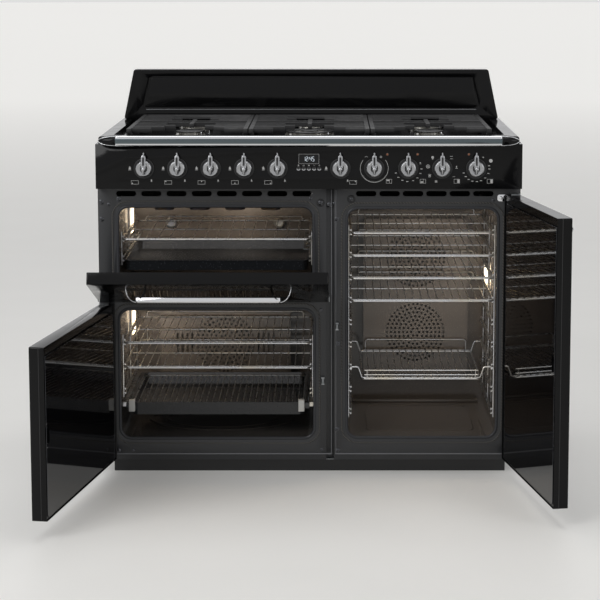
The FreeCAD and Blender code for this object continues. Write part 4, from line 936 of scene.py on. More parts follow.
def outline(x, z, width, height, line=0.7, y=0.0):
    """Four thin bars round a rectangle."""
    return ([bar(x, z + side * (height - line) / 2, width, line, y=y) for side in (1, -1)]
            + [bar(x + side * (width - line) / 2, z, line, height - 2 * line, y=y) for side in (1, -1)])


def drop(x, z, radius):
    """Flame: a disc drawn up to a point."""
    mark = dot(x, z, radius)
    top = (z + radius * 0.98) * MM
    pick(mark, "VERT", lambda vertex: vertex.co.z > top)
    bpy.ops.transform.translate(value=(0, 0, radius * 1.1 * MM))
    leave()
    return mark


def printed(x, z, table):
    """Marks of a table about a point: what draws each, its place across and up, and its sizes."""
    marks = []
    for draw, across, up, *sizes in table:
        mark = draw(x + across, z + up, *sizes)
        marks += mark if isinstance(mark, list) else [mark]
    return marks


SEGMENTS = {"1": "bc", "2": "abged", "4": "fgbc", "5": "afgcd"}
SEGMENT_PLACES = {"a": (0, 1, True), "b": (1, 0.5, False), "c": (1, -0.5, False), "d": (0, -1, True),
                  "e": (-1, -0.5, False), "f": (-1, 0.5, False), "g": (0, 0, True)}
CLOCK = (("1", -11.6), ("2", -5.4), ("4", 4.2), ("5", 11.2))
CLOCK_DOTS = (-0.6, 2.4, 0.7)    # place across, place up and down, radius
DIGIT_HALF = (2.1, 5.6)          # half width and half height, in millimetres
STROKES = {True: (3.4, 1.1), False: (1.1, 4.6)}     # width and height of level and upright strokes
DIGITS_FACE = -1.7 * MM
DISPLAY_OUTLINE = (52, 25, 0.5)  # width, height and line, in millimetres
DISPLAY_DROP = 24                # from the display's top edge down to the middle of the time
OUTLINE_FACE = -1.6 * MM


def clock_digits(z):
    """Seven-segment time on the display."""
    across, up, radius = CLOCK_DOTS
    marks = [dot(across, z + side * up, radius, y=DIGITS_FACE) for side in (1, -1)]
    for digit, x in CLOCK:
        for name in SEGMENTS[digit]:
            across, up, level = SEGMENT_PLACES[name]
            width, height = STROKES[level]
            marks.append(bar(x + across * DIGIT_HALF[0], z + up * DIGIT_HALF[1], width, height,
                             y=DIGITS_FACE))
    return marks


TIMER_ICONS = (                  # bell, clock, pot, minus and plus, in millimetres
    ((drop, 0, 0, 1.7), (bar, 0, -2.1, 4, 0.6)),
    ((ring, 0, 0, 2.5, 0.6, WHOLE, 24), (bar, 0, 0.6, 0.6, 1.8), (bar, 0.6, 0, 1.4, 0.6)),
    ((bar, 0, -0.6, 4, 2.4), (bar, 0, 1.2, 4.8, 0.6), (bar, 0, 2, 1.2, 0.8)),
    ((bar, 0, 0, 4, 0.8),),
    ((bar, 0, 0, 4, 0.8), (bar, 0, 0, 0.8, 4)),
)
ICONS_UP = 8.6                   # over the knobs' middles
FLAMES = ((drop, -36.5, 0.6, 2.9), (bar, -36.5, -3.6, 7.4, 1.2),
          (drop, 19, -31, 1.9), (bar, 19, -34, 4.4, 0.9))
HOB_PLAN = (19, 10)              # width and height
HOB_PLAN_ACROSS = (-24, 33)      # left of the first five knobs, right of the sixth
PLAN_DOWN = 36
PLAN_COLUMNS, PLAN_ROWS = (-6, 0, 6), (-2.4, 2.4)


def hob_marks(x, z, burner):
    """Large and small flame, and the hob's plan with this burner's dot."""
    marks = printed(x, z, FLAMES)
    centre = x + HOB_PLAN_ACROSS[burner // 5]
    marks += outline(centre, z - PLAN_DOWN, *HOB_PLAN)
    column, row = burner // 2, (burner + burner // 2) % 2
    marks.append(dot(centre + PLAN_COLUMNS[column], z - PLAN_DOWN + PLAN_ROWS[row], 1.5))
    return marks


def ticks(x, z, angles, radius=34.0, width=5.2, height=1.7):
    """Short level dashes round a dial, at clockwise angles from the top."""
    return [bar(x + radius * math.sin(math.radians(a)), z + radius * math.cos(math.radians(a)), width, height)
            for a in angles]


OVEN_PLAN = ((outline, 0, 0, 15, 11), (bar, 1.2, 0, 0.7, 10))
FILLED = {"grill": (bar, -2.4, 2.2, 7, 3.4), "main": (bar, -2.4, -2.2, 7, 3.4),
          "tall": (bar, 4.2, 0, 4.6, 8.4)}
OVEN_PLANS = (("grill", 38), ("main", 38), ("tall", 38), ("tall", 36))  # by knob: filled oven, place across
OVEN_PLANS_DOWN = 33
GRILL_MARKS = ((ring, 0, 0, 36.5, 0.9, (55, 305)), (ring, 0, 0, 34.6, 0.4, (120, 240)),
               (ring, 17, 30, 2.8, 0.8, WHOLE, 20), (dot, 17, 30, 1.1),
               (bar, -22.5, 30.5, 4.4, 0.8, -28), (bar, -18.5, 30.5, 4.4, 0.8, 28))
MAIN_TICKS = (92, 112, 136, 158, 184, 206, 228, 250)
MAIN_MARKS = ((bar, 31, 15, 4.2, 0.8, 45), (bar, 31, 15, 4.2, 0.8, -45), (bar, 31, 12, 4, 0.8))
TALL_TICKS = (78, 92, 112, 136, 158, 176, 196, 214, 232, 250)
TALL_MARKS = ((dot, 37.5, 20, 4.6, 24), (dot, 18, 29, 2.2, 4))
FUNCTION_RADIUS = 37
FUNCTIONS = (                    # clockwise angle from the top, marks
    (40, ((bar, 0, 3.2, 7, 0.9), (bar, 0, -3.2, 7, 0.9))),
    (85, ((drop, 0, 1, 1.7), (bar, 0, -3, 6, 0.9))),
    (125, ((bar, 0, 0, 6, 0.9),)),
    (205, ((bar, 0, 2.6, 6, 0.9), (dot, -1.6, -1, 1.6), (dot, 1.6, -1, 1.6))),
    (240, ((outline, 0, 0, 6, 8), (dot, 0, 0, 2))),
    (278, ((ring, 0, 0, 5, 0.9, WHOLE, 24),
           (drop, 0, 1.2, 1.2), (drop, -1.8, -1.4, 1.2), (drop, 1.8, -1.4, 1.2))),
    (318, ((dot, 0, 1.4, 3.4), (bar, 0, -3, 2.6, 2))),
)


def oven_marks(z):
    """Marks round the four oven knobs: grill strength, heats and functions."""
    places = [HINGES[node]["pos_m"][0] / MM for node in OVEN_KNOBS]
    grill, main, mode, heat = places
    marks = printed(grill, z, GRILL_MARKS)
    for knob, (filled, across) in zip(places, OVEN_PLANS):
        marks += printed(knob + across, z - OVEN_PLANS_DOWN, OVEN_PLAN + (FILLED[filled],))
    marks += ticks(main, z, MAIN_TICKS) + printed(main, z, MAIN_MARKS)
    marks += ticks(heat, z, TALL_TICKS) + printed(heat, z, TALL_MARKS)
    for angle, table in FUNCTIONS:
        turn = math.radians(angle)
        marks += printed(mode + FUNCTION_RADIUS * math.sin(turn), z + FUNCTION_RADIUS * math.cos(turn), table)
    return marks


class COOKER_OT_panel_print(CookerPiece, bpy.types.Operator):
    """Symbols on the control panel and the time on the display"""
    bl_idname = "cooker.panel_print"
    bl_label = "Panel print"

    def execute(self, context):
        z = HINGES[KNOB_NODES[0]]["pos_m"][2] / MM
        marks = []
        for burner, node in enumerate(BURNER_KNOBS):
            marks += hob_marks(HINGES[node]["pos_m"][0] / MM, z, burner)
        marks += oven_marks(z)
        for node, table in zip(BUTTON_NODES, TIMER_ICONS):
            marks += printed(sum(spans(node)[0]) / 2 / MM, z + ICONS_UP, table)
        mark = thickened(join("panel_print", marks), 0.25 * MM)
        mark.matrix_world = Matrix.Translation((0, -0.2 * MM, 0))
        place(settle(mark), "root", "ink")
        middle = spans("timer_display")[2][1] / MM - DISPLAY_DROP
        lines = outline(0, middle, *DISPLAY_OUTLINE, y=OUTLINE_FACE)
        window = thickened(join("display_outline", lines), 0.2 * MM)
        place(window, "root", "ink")
        digits = thickened(join("display_digits", clock_digits(middle)), 0.2 * MM)
        place(digits, "root", "digits")
        return {"FINISHED"}


PILOTS = (202, 280, 412)         # places across, in millimetres
PILOT_HEIGHT = 853.5


class COOKER_OT_pilots(CookerPiece, bpy.types.Operator):
    """Amber pilot lamps on the control panel"""
    bl_idname = "cooker.pilots"
    bl_label = "Pilot lamps"

    def execute(self, context):
        radius = context.scene.cooker_sizes.pilot_radius
        lens = stretched_ball("pilot_lens", radius, (0, FRONT, PILOT_HEIGHT * MM), (1, 0.6, 1))
        rim = start("torus", "pilot_rim", major_radius=radius + 0.4 * MM, minor_radius=0.7 * MM,
                    major_segments=24, minor_segments=8, location=(0, FRONT, PILOT_HEIGHT * MM),
                    rotation=FACING_FRONT)
        smooth(rim, ROUND_ANGLE)
        for number, x in enumerate(PILOTS, 1):
            shift = (x * MM, 0, 0)
            place(copied(lens, "pilot_lens_%d" % number, shift), "root", "pilot")
            place(copied(rim, "pilot_rim_%d" % number, shift), "root", "plastic")
        discard(lens, rim)
        return {"FINISHED"}


# ---- handles and towel rail ----
def crowned_bar(name, x, y, z):
    """Polished bar of rounded section, a little crowned at the front."""
    piece = block(name, (x[0], y[0], z[0]), (x[1], y[1], z[1]))
    pick(piece, "FACE", front_face)
    bpy.ops.mesh.inset(thickness=min(y[1] - y[0], z[1] - z[0]) * 0.28, depth=0)
    leave()
    pick(piece, "VERT", lambda vertex: vertex.co.y < sum(y) / 2
         and abs(vertex.co.z - sum(z) / 2) > (z[1] - z[0]) * 0.45)
    bpy.ops.transform.translate(value=(0, (y[1] - y[0]) * 0.22, 0))
    leave()
    return soften(piece, 1.2 * MM, 3, 20)


BEND_STEPS = 10


def elbow(name, x, y, z, reach, thickness, height):
    """Quarter bend from a bar's end at (x, y[0]) back to the door's face at y[1]; reach is signed along x."""
    section = start("circle", name, radius=thickness / 2, vertices=20, fill_type="NGON",
                    location=(x, y[0], z), rotation=(0, QUARTER, 0))
    pick(section, "VERT", everything)
    bpy.ops.transform.resize(value=(1, 1, height[0] / thickness))
    bpy.ops.mesh.select_all(action="SELECT")
    bpy.ops.mesh.spin(steps=BEND_STEPS, angle=math.copysign(QUARTER, reach), center=(x, y[1], z),
                      axis=(0, 0, 1))
    leave()
    settle(section)
    ends = max(abs(vertex.co.x - x) for vertex in section.data.vertices) - thickness / 2
    for step in range(1, BEND_STEPS + 1):
        angle = QUARTER * step / BEND_STEPS
        grow = 1 + (height[1] / height[0] - 1) * (step / BEND_STEPS) ** 2

        def on_ring(vertex):
            return abs(math.atan2(abs(vertex.co.x - x), y[1] - vertex.co.y) - angle) < 0.03
        pick(section, "VERT", on_ring)
        bpy.ops.transform.resize(value=(1, 1, grow))
        leave()
    pick(section, "VERT", everything)
    bpy.ops.transform.resize(value=(abs(reach) / ends, 1, 1), center_override=(x, y[1], z))
    bpy.ops.mesh.remove_doubles(threshold=0.01 * MM)
    bpy.ops.mesh.normals_make_consistent(inside=False)
    leave()
    return smooth(section, BENT_ANGLE)


STRIP_STEPS = 12


def elbow_strip(name, x, y, z, reach, thickness):
    """Thin chrome edging along the outside of an elbow."""
    out = y[1] - y[0] + thickness / 2
    wide = abs(reach) + thickness / 2
    turns = [QUARTER * i / STRIP_STEPS for i in range(STRIP_STEPS + 1)]
    points = [(x + math.copysign(wide * math.sin(turn), reach), y[1] - out * math.cos(turn), z)
              for turn in turns]
    return line_tube(name, points, 1.1 * MM)


HANDLE_ARM = 28 * MM             # length at each end that the elbow takes
HANDLE_DEPTH, HANDLE_HALF_HEIGHT = 13 * MM, 7 * MM
ELBOW_SHARE = 0.8                # share of the arm that the elbow reaches along
ELBOW_THICKNESS, ELBOW_START_HEIGHT = 8 * MM, 13.6 * MM


class COOKER_OT_handles(CookerPiece, bpy.types.Operator):
    """Door handles: polished bar between black elbows with a chrome edge"""
    bl_idname = "cooker.handles"
    bl_label = "Door handles"

    def execute(self, context):
        tall = context.scene.cooker_sizes.elbow_height
        for door in DOORS:
            node = door + "_handle"
            x, y, z = shut_box(node, door)
            centre = sum(z) / 2
            rod = crowned_bar(door + "_handle_bar", grown(x, -HANDLE_ARM), (y[0], y[0] + HANDLE_DEPTH),
                              grown((centre, centre), HANDLE_HALF_HEIGHT))
            place(opened(rod, door), door, "bar chrome", [node])
            depth = (y[0] + HANDLE_DEPTH / 2, y[1])
            for side, end, way in (("left", x[0] + HANDLE_ARM, -1), ("right", x[1] - HANDLE_ARM, 1)):
                reach = way * HANDLE_ARM * ELBOW_SHARE
                bend = elbow("%s_handle_elbow_%s" % (door, side), end, depth, centre, reach, ELBOW_THICKNESS,
                             (ELBOW_START_HEIGHT, tall))
                place(opened(bend, door), door, "gloss enamel")
                strip = elbow_strip("%s_handle_strip_%s" % (door, side), end, depth, centre, reach,
                                    ELBOW_THICKNESS)
                place(opened(strip, door), door, "bar chrome")
        return {"FINISHED"}


RAIL_INSET = 9 * MM              # each end in from the plain rail's
RAIL_END = 46 * MM               # length of each black end
RAIL_DEPTH = 11 * MM
RAIL_END_HALF_DEPTH = 17.5 * MM
REFLECTION_BAND_INSET = 6.5 * MM            # band's edges in from the bar's
RAIL_HIGHLIGHT_STEPS = 10


def rail_end(name, inner, way, y, z):
    """Black end of the rail: half of a stretched ball, lower towards its tip."""
    nose = start("uv_sphere", name, radius=1, segments=32, ring_count=24, rotation=(0, QUARTER, 0))
    pick(nose, "VERT", lambda vertex: vertex.co.x * way < -0.7)
    bpy.ops.transform.resize(value=(1, 1.0, 0.86))
    leave()
    size = (RAIL_END, RAIL_END_HALF_DEPTH, (z[1] - z[0]) / 2 + 0.8 * MM, 1)
    nose.matrix_world = (Matrix.Translation((inner, y[0] + RAIL_END_HALF_DEPTH, sum(z) / 2))
                         @ Matrix.Diagonal(size))
    settle(nose)
    pick(nose, "VERT", everything)
    bpy.ops.mesh.bisect(plane_co=(inner + way * 2 * MM, 0, 0), plane_no=(way, 0, 0), clear_outer=True,
                        use_fill=True)
    leave()
    return smooth(turned_out(nose), BENT_ANGLE)


def rail_line(name, inner, way, y, z, level):
    """Thin chrome line along the edge of a rail end, from the bar to the tip: a painted highlight on the
    glossy black end.
    """
    points = []
    for i in range(RAIL_HIGHLIGHT_STEPS + 1):
        share = i / RAIL_HIGHLIGHT_STEPS
        turn = QUARTER * share
        points.append((inner - way * RAIL_END * math.sin(turn) * 0.97, y[0] + 6 * MM + 9 * MM * share ** 2,
                       sum(z) / 2 + (level - sum(z) / 2) * math.cos(turn)))
    return line_tube(name, points, 0.9 * MM)


class COOKER_OT_towel_rail(CookerPiece, bpy.types.Operator):
    """Towel rail: polished bar with a dark band of painted reflection, rounded black ends with thin chrome
    lines of painted highlight
    """
    bl_idname = "cooker.towel_rail"
    bl_label = "Towel rail"

    def execute(self, context):
        x, y, z = spans("towel_rail")
        x = grown(x, -RAIL_INSET)
        rod = crowned_bar("towel_rail_bar", grown(x, -RAIL_END), (y[0], y[0] + RAIL_DEPTH), z)
        place(rod, "root", "bar chrome", ["towel_rail"])
        # Darker band down the middle of the bar's front: painted reflection of dark surroundings, between the
        # bright upper and lower edges.
        reflection_band = block("towel_rail_band", (x[0] + RAIL_END, y[0] - 0.3 * MM, z[0] + REFLECTION_BAND_INSET),
                     (x[1] - RAIL_END, y[0] + 3 * MM, z[1] - REFLECTION_BAND_INSET))
        place(soften(reflection_band, 0.6 * MM), "root", "rail band")
        for side, edge, way in (("left", x[0], 1), ("right", x[1], -1)):
            inner = edge + way * RAIL_END
            nose = rail_end("towel_rail_end_%s" % side, inner, way, y, z)
            place(nose, "root", "gloss enamel")
            # Chrome lines along the upper and lower edges of each black end: painted highlights.
            for level, name in ((z[1] - 1.4 * MM, "upper"), (z[0] + 1.4 * MM, "lower")):
                strip = rail_line("towel_rail_%s_line_%s" % (name, side), inner, way, y, z, level)
                place(strip, "root", "bar chrome")
        return {"FINISHED"}


# ---- pressed steel, burners and pan supports ----
PRESSED = (                      # node, body, slot, finish, edge radius in millimetres at full softness
    ("hob_top", "root", "gloss_enamel", "gloss enamel", 1.6),
    ("splashback", "root", "gloss_enamel", "gloss enamel", 1.6),
    ("control_panel", "root", "gloss_enamel", "gloss enamel", 0.6),
    ("front_frame_left", "root", "front_enamel", "satin enamel", 0.5),
    ("front_frame_right", "root", "front_enamel", "satin enamel", 0.5),
    ("tall_door_shell", "tall_door", "gloss_enamel", "gloss enamel", 1.2),
    ("main_door_shell", "main_door", "gloss_enamel", "gloss enamel", 1.2),
    ("grill_door_shell", "grill_door", "gloss_enamel", "gloss enamel", 1.2),
    ("pan_supports", "root", "cast_iron", "cast iron", 0.9),
    ("grill_tray", "grill_tray", "tray_enamel", "tray enamel", 0.5),
    ("main_tray", "main_tray", "tray_enamel", "tray enamel", 0.5),
)

FULL_SOFTNESS = 1.6
PIERCED = ("hob_top", "tall_door_shell")    # split into triangles, as rounding would close their openings
# Pale line along the foot of the splashback: a painted highlight where its lower fold catches the light.
SPLASHBACK_HIGHLIGHT = ((-0.47, 0.2555, 0.9275), (0.47, 0.2555, 0.9275))     # its ends, in metres


class COOKER_OT_pressed_steel(CookerPiece, bpy.types.Operator):
    """Pressed and cast pieces with the rounded edges that tools leave, and a pale line of painted highlight
    at the foot of the splashback
    """
    bl_idname = "cooker.pressed_steel"
    bl_label = "Pressed and cast pieces"

    def execute(self, context):
        share = context.scene.cooker_sizes.seam_bevel / FULL_SOFTNESS
        # Painted highlight along the splashback's lower fold.
        highlight_line = line_tube("splashback_bead", SPLASHBACK_HIGHLIGHT, 1.4 * MM)
        place(highlight_line, "root", "edge enamel")
        for node, body, slot, finish, radius in PRESSED:
            piece = merged_copy(node, node + "_rounded")
            if node in PIERCED:
                pick(piece, "FACE", everything)
                bpy.ops.mesh.quads_convert_to_tris(quad_method="BEAUTY", ngon_method="BEAUTY")
                leave()
            soften(piece, radius * share)
            if node in PIERCED:
                modify(piece, "WEIGHTED_NORMAL", weight=100, keep_sharp=True)
            place(piece, body, finish, [node])
        return {"FINISHED"}


BURNER_X = (-317, 0, 317)        # millimetres, left to right
BURNER_ROWS = ((-130, (36, 62, 36)), (110, (45, 30, 45)))   # place in depth, crown radii
WELL_FLOOR = 888                 # this and the heights below in millimetres
CROWN_BOTTOM, CROWN_TOP, CAP_TOP = 891, 897.5, 901.6
CAP_OVERHANG = 1.5
DOUBLE_RADIUS = 50               # a crown wider than this has a second burner inside it
INNER_TOP = CROWN_TOP + 1.8
PIN_GAP = 8                      # from the crown's edge to a pin's middle
PLUG = (225, 3.2, 896)           # degrees round the burner from its right side, radius, top
SENSOR = (315, 1.7, 899)
SPARK_PIN_Z, SPARK_PIN_RADIUS = (895, 899.5), 0.9
INNER_RADIUS, INNER_CAP_RADIUS = 24, 23
RING_WIDTH, WELL_IN = 21, 20     # in from a double burner's crown to the hole in its cap and to the well


def upright(name, x, y, z, radius, sides=48):
    """Upright cylinder between two heights, in millimetres."""
    return start("cylinder", name, radius=radius * MM, depth=(z[1] - z[0]) * MM, vertices=sides,
                 location=(x * MM, y * MM, sum(z) / 2 * MM))


def slotted_crown(x, y, radius):
    """Burner head with flame ports cut all round, on its base."""
    sides = 2 * int(radius * 0.8)
    crown = upright("burner_crown", x, y, (CROWN_BOTTOM, CROWN_TOP), radius, sides)

    def port(face):
        spot = face.calc_center_median()
        turn = math.atan2(spot.y - y * MM, spot.x - x * MM) / (2 * math.pi) * sides
        return abs(face.normal.z) < 0.5 and int(round(turn - 0.5)) % 2 == 0
    pick(crown, "FACE", port)
    bpy.ops.mesh.inset(thickness=0.5 * MM, depth=-2.4 * MM, use_individual=True)
    leave()
    base = upright("burner_base", x, y, (WELL_FLOOR, CROWN_BOTTOM), radius + 3.5)
    return join("burner_crown", [smooth(crown, 20), soften(base, 1.2 * MM)])


def burner_cap(x, y, radius, hole=0.0):
    """Enamelled cap, domed, or an open ring where another burner sits inside it."""
    outer = radius + CAP_OVERHANG
    cap = upright("burner_cap", x, y, (CROWN_TOP, CAP_TOP - 0.9), outer, 64)
    if hole:
        pick(cap, "FACE", lambda face: abs(face.normal.z) > 0.9)
        bpy.ops.mesh.inset(thickness=(outer - hole) * MM, depth=0)
        bpy.ops.mesh.bridge_edge_loops()
    else:
        pick(cap, "FACE", lambda face: face.normal.z > 0.9)
        bpy.ops.mesh.inset(thickness=radius * 0.35 * MM, depth=0.6 * MM)
        bpy.ops.mesh.inset(thickness=radius * 0.3 * MM, depth=0.3 * MM)
    leave()
    return soften(cap, 1.1 * MM, 3)


def burner_parts(x, y, radius):
    """Crowns, caps, spark plugs and bright pins of the burner at x and y."""
    crowns, plugs, pins = [slotted_crown(x, y, radius)], [], []
    if radius > DOUBLE_RADIUS:
        caps = [burner_cap(x, y, radius, radius - RING_WIDTH)]
        crowns.append(upright("burner_well", x, y, (CROWN_TOP - 2, CROWN_TOP + 0.4), radius - WELL_IN))
        crowns.append(soften(upright("burner_inner", x, y, (CROWN_TOP, INNER_TOP), INNER_RADIUS), 0.5 * MM))
        caps.append(soften(upright("burner_cap", x, y, (INNER_TOP, CAP_TOP), INNER_CAP_RADIUS), MM))
    else:
        caps = [burner_cap(x, y, radius)]
    for (angle, thickness, top), group in ((PLUG, plugs), (SENSOR, pins)):
        pin_x = x + (radius + PIN_GAP) * math.cos(math.radians(angle))
        pin_y = y + (radius + PIN_GAP) * math.sin(math.radians(angle))
        pin = upright("burner_pin", pin_x, pin_y, (WELL_FLOOR - 1, top), thickness, 16)
        group.append(soften(pin, 0.5 * MM))
        if group is plugs:
            pins.append(upright("spark_pin", pin_x, pin_y, SPARK_PIN_Z, SPARK_PIN_RADIUS, 12))
    return crowns, caps, plugs, pins


class COOKER_OT_burners(CookerPiece, bpy.types.Operator):
    """Six gas burners: cast crowns with flame ports, black caps, spark plugs and flame sensors"""
    bl_idname = "cooker.burners"
    bl_label = "Burners"

    def execute(self, context):
        groups, models = ([], [], [], []), {}
        for y, radii in BURNER_ROWS:
            for x, radius in zip(BURNER_X, radii):
                if radius not in models:
                    models[radius] = x, y, burner_parts(x, y, radius)
                first_x, first_y, parts = models[radius]
                shift = ((x - first_x) * MM, (y - first_y) * MM, 0)
                for group, pieces in zip(groups, parts):
                    group += [copied(piece, piece.name, shift) for piece in pieces]
        for _, _, parts in models.values():
            discard(*sum(parts, []))
        crowns, caps, plugs, pins = groups
        place(join("burner_crowns", crowns), "root", "burner alloy", ["burners"])
        place(join("burner_caps", caps), "root", "cap enamel")
        place(join("spark_plugs", plugs), "root", "pale plastic")
        place(join("flame_sensors", pins), "root", "bar chrome")
        return {"FINISHED"}


# ---- ovens ----
OVENS = ("grill_cavity", "main_cavity", "tall_cavity")
LIP_OUT, LIP_CORNER, LIP_DEPTH = 2 * MM, 30 * MM, 2.4 * MM          # depth is behind the frame's face
SEAL_OUT, SEAL_CORNER, SEAL_DEPTH = 15 * MM, 41 * MM, 0.2 * MM


class COOKER_OT_oven_mouths(CookerPiece, bpy.types.Operator):
    """Rolled lip and braided seal round each oven's mouth"""
    bl_idname = "cooker.oven_mouths"
    bl_label = "Oven mouths"

    def execute(self, context):
        sizes = context.scene.cooker_sizes
        for oven in OVENS:
            x, z = mouth(oven)
            lip = ring_tube(oven + "_lip", grown(x, LIP_OUT), grown(z, LIP_OUT), FRAME_FACE + LIP_DEPTH,
                            LIP_CORNER, sizes.lip_radius)
            place(lip, "root", "lip enamel")
            seal = ring_tube(oven + "_seal", grown(x, SEAL_OUT), grown(z, SEAL_OUT), FRAME_FACE + SEAL_DEPTH,
                             SEAL_CORNER, sizes.seal_radius)
            place(seal, "root", "seal")
        return {"FINISHED"}


LAMPS = (                        # oven, wall, place in depth, height, in millimetres
    ("grill_cavity", -1, 30, 640), ("main_cavity", -1, 40, 355), ("tall_cavity", 1, 40, 482),
)
# Name, half depth and half height in lamp radii, thickness and edge radius in millimetres, steps of the edge,
# slot, finish
LAMP_PARTS = (
    ("lens", 1.6, 1.9, 9, 3.5, 4, "dark_glass", "lamp glass"),
    ("rim", 1.85, 2.15, 4, 1.5, 3, "chrome_wire", "wire chrome"),
)


class COOKER_OT_oven_lamps(CookerPiece, bpy.types.Operator):
    """Lit lamp in each oven's side wall, behind the rack guides"""
    bl_idname = "cooker.oven_lamps"
    bl_label = "Oven lamps"

    def execute(self, context):
        radius = context.scene.cooker_sizes.lamp_radius
        for oven, wall, y, z in LAMPS:
            x = mouth(oven)[0][(wall + 1) // 2]
            for name, deep, high, thick, edge, steps, slot, finish in LAMP_PARTS:
                near, far = sorted((x, x - wall * thick * MM))
                part = block("%s_lamp_%s" % (oven, name),
                             (near, y * MM - radius * deep, z * MM - radius * high),
                             (far, y * MM + radius * deep, z * MM + radius * high))
                place(soften(part, edge * MM, steps), "root", finish)
        return {"FINISHED"}


FLOOR_ARCS = (0.17, 0.13)        # radii of the rings on the main oven's floor, in metres
ARC_RADIUS, ARC_PLACE, ARC_SCALE = 5 * MM, -0.03, (1.15, 0.85, 0.35)
FLOOR_RIDGES = (("tall_cavity", 55 * MM, (-0.19, 0.11)), ("grill_cavity", 70 * MM, (-0.18, 0.11)))
RIDGE_CORNER, RIDGE_RADIUS, RIDGE_FLATNESS = 25 * MM, 4 * MM, 0.4
STEPPED = ("main_cavity", "tall_cavity")
STEP_INSET, STEP_HEIGHT, STEP_Y = 18 * MM, 8 * MM, (0.148, 0.158)
GUIDE_X = (2.5 * MM, 26 * MM)    # in from the grill oven's left wall
GUIDE_Y, GUIDE_HEIGHT = (-0.2, 0.14), 592 * MM
BOSSES_X = (-0.397, -0.091)
BOSS_RADIUS, BOSS_DEPTH, BOSS_PLACE = 16 * MM, 8 * MM, (0, 0.186, 0.611)


def flat_ridge(x, y, floor):
    """Low rounded ridge along a rectangle on an oven's floor."""
    ridge = ring_tube("floor_ridge", x, y, 0, RIDGE_CORNER, RIDGE_RADIUS)
    ridge.matrix_world = (Matrix.Translation((0, 0, floor)) @ Matrix.Diagonal((1, 1, RIDGE_FLATNESS, 1))
                          @ LAID_DOWN)
    return turned_out(settle(ridge))


def pierced_strip(name, x, y, z, slots=5):
    """Sheet strip with a row of slots along it."""
    strip = start("grid", name, size=1, x_subdivisions=1, y_subdivisions=slots,
                  location=(sum(x) / 2, sum(y) / 2, z), scale=(x[1] - x[0], y[1] - y[0], 1))
    pick(strip, "FACE", everything)
    bpy.ops.mesh.inset(thickness=6 * MM, depth=0, use_individual=True)
    bpy.ops.mesh.delete(type="FACE")
    leave()
    return soften(modify(strip, "SOLIDIFY", thickness=1.4 * MM, offset=0), 0.4 * MM)


def back_boss():
    """Dished round boss for the grill oven's back wall."""
    boss = front_disc("grill_boss", BOSS_RADIUS, BOSS_DEPTH, BOSS_PLACE, 48)
    pick(boss, "FACE", front_face)
    bpy.ops.mesh.inset(thickness=4 * MM, depth=2 * MM)
    bpy.ops.mesh.inset(thickness=2 * MM, depth=-3 * MM)
    leave()
    return soften(boss, 1.2 * MM, 3)


class COOKER_OT_oven_fittings(CookerPiece, bpy.types.Operator):
    """Raised patterns on the oven floors, pierced side guides, bosses and the step at the back"""
    bl_idname = "cooker.oven_fittings"
    bl_label = "Oven fittings"

    def execute(self, context):
        x, (floor, _) = mouth("main_cavity")
        ridges = [start("torus", "floor_ridge", major_radius=radius, minor_radius=ARC_RADIUS,
                        major_segments=96, minor_segments=10, location=(sum(x) / 2, ARC_PLACE, floor),
                        scale=ARC_SCALE) for radius in FLOOR_ARCS]
        for oven, inset, y in FLOOR_RIDGES:
            x, (floor, _) = mouth(oven)
            ridges.append(flat_ridge(grown(x, -inset), y, floor))
        for oven in STEPPED:
            x, (floor, _) = mouth(oven)
            step = block("floor_step", (x[0] + STEP_INSET, STEP_Y[0], floor - MM),
                         (x[1] - STEP_INSET, STEP_Y[1], floor + STEP_HEIGHT))
            ridges.append(soften(step, 3 * MM, 3))
        place(join("oven_floor_ridges", [smooth(ridge, ROUND_ANGLE) for ridge in ridges]), "root",
              "oven enamel")
        x, _ = mouth("grill_cavity")
        guide_x = (x[0] + GUIDE_X[0], x[0] + GUIDE_X[1])
        guide = pierced_strip("grill_side_guides", guide_x, GUIDE_Y, GUIDE_HEIGHT)
        twin = mirrored(guide, "grill_side_guide_right", sum(x) / 2)
        place(join("grill_side_guides", [guide, twin]), "root", "zinc")
        boss = back_boss()
        bosses = [copied(boss, "grill_boss", (place_x, 0, 0)) for place_x in BOSSES_X]
        discard(boss)
        place(join("grill_back_bosses", bosses), "root", "wire chrome")
        return {"FINISHED"}


# ---- front frame fittings ----
SCREWS = (                       # places across and up on the front frame, in millimetres
    (-541, 725), (-522, 719), (-496, 733), (4, 734), (29.6, 723), (66, 721), (53, 718), (109.6, 733),
    (73, 680), (479, 730), (73, 120), (33, 64), (75, 62), (-467, 62), (-505, 62), (30, 440), (-541, 680),
    (-541, 90), (75, 350),
)
SCREW_RADII = (6.2 * MM, 4.2 * MM)          # large and small ones by turns
SCREW_DEPTH = 1.2 * MM
CROSS_BARS = ((0.5 * MM, 2 * MM), (2 * MM, 0.5 * MM))       # half widths and half heights
WASHERS = ((29.6, 723), (109.6, 733))
WASHER_RADIUS, WASHER_THICKNESS = 8.5 * MM, 2 * MM
CATCHES = ((35.6, 251), (73, 397))
ROLLER_DEPTH, ROLLER_SCALE = 7 * MM, (4.4, 4.4, 6.4)
HINGE_ARM = (509 * MM, 736 * MM)
HINGE_ARM_HALF, HINGE_ARM_PROUD = (19 * MM, 9 * MM), 1.6 * MM
LEVEL_EDGES, LEVEL_EDGE_Z = ((-520, 60), (68, 520)), (52, 55.5)
UPRIGHT_EDGES, UPRIGHT_EDGE_Z = (58.2, 69.8), (56, 758)
SCREW_DOME = (1, 0.4, 1)         # a ball flattened into a screw's head


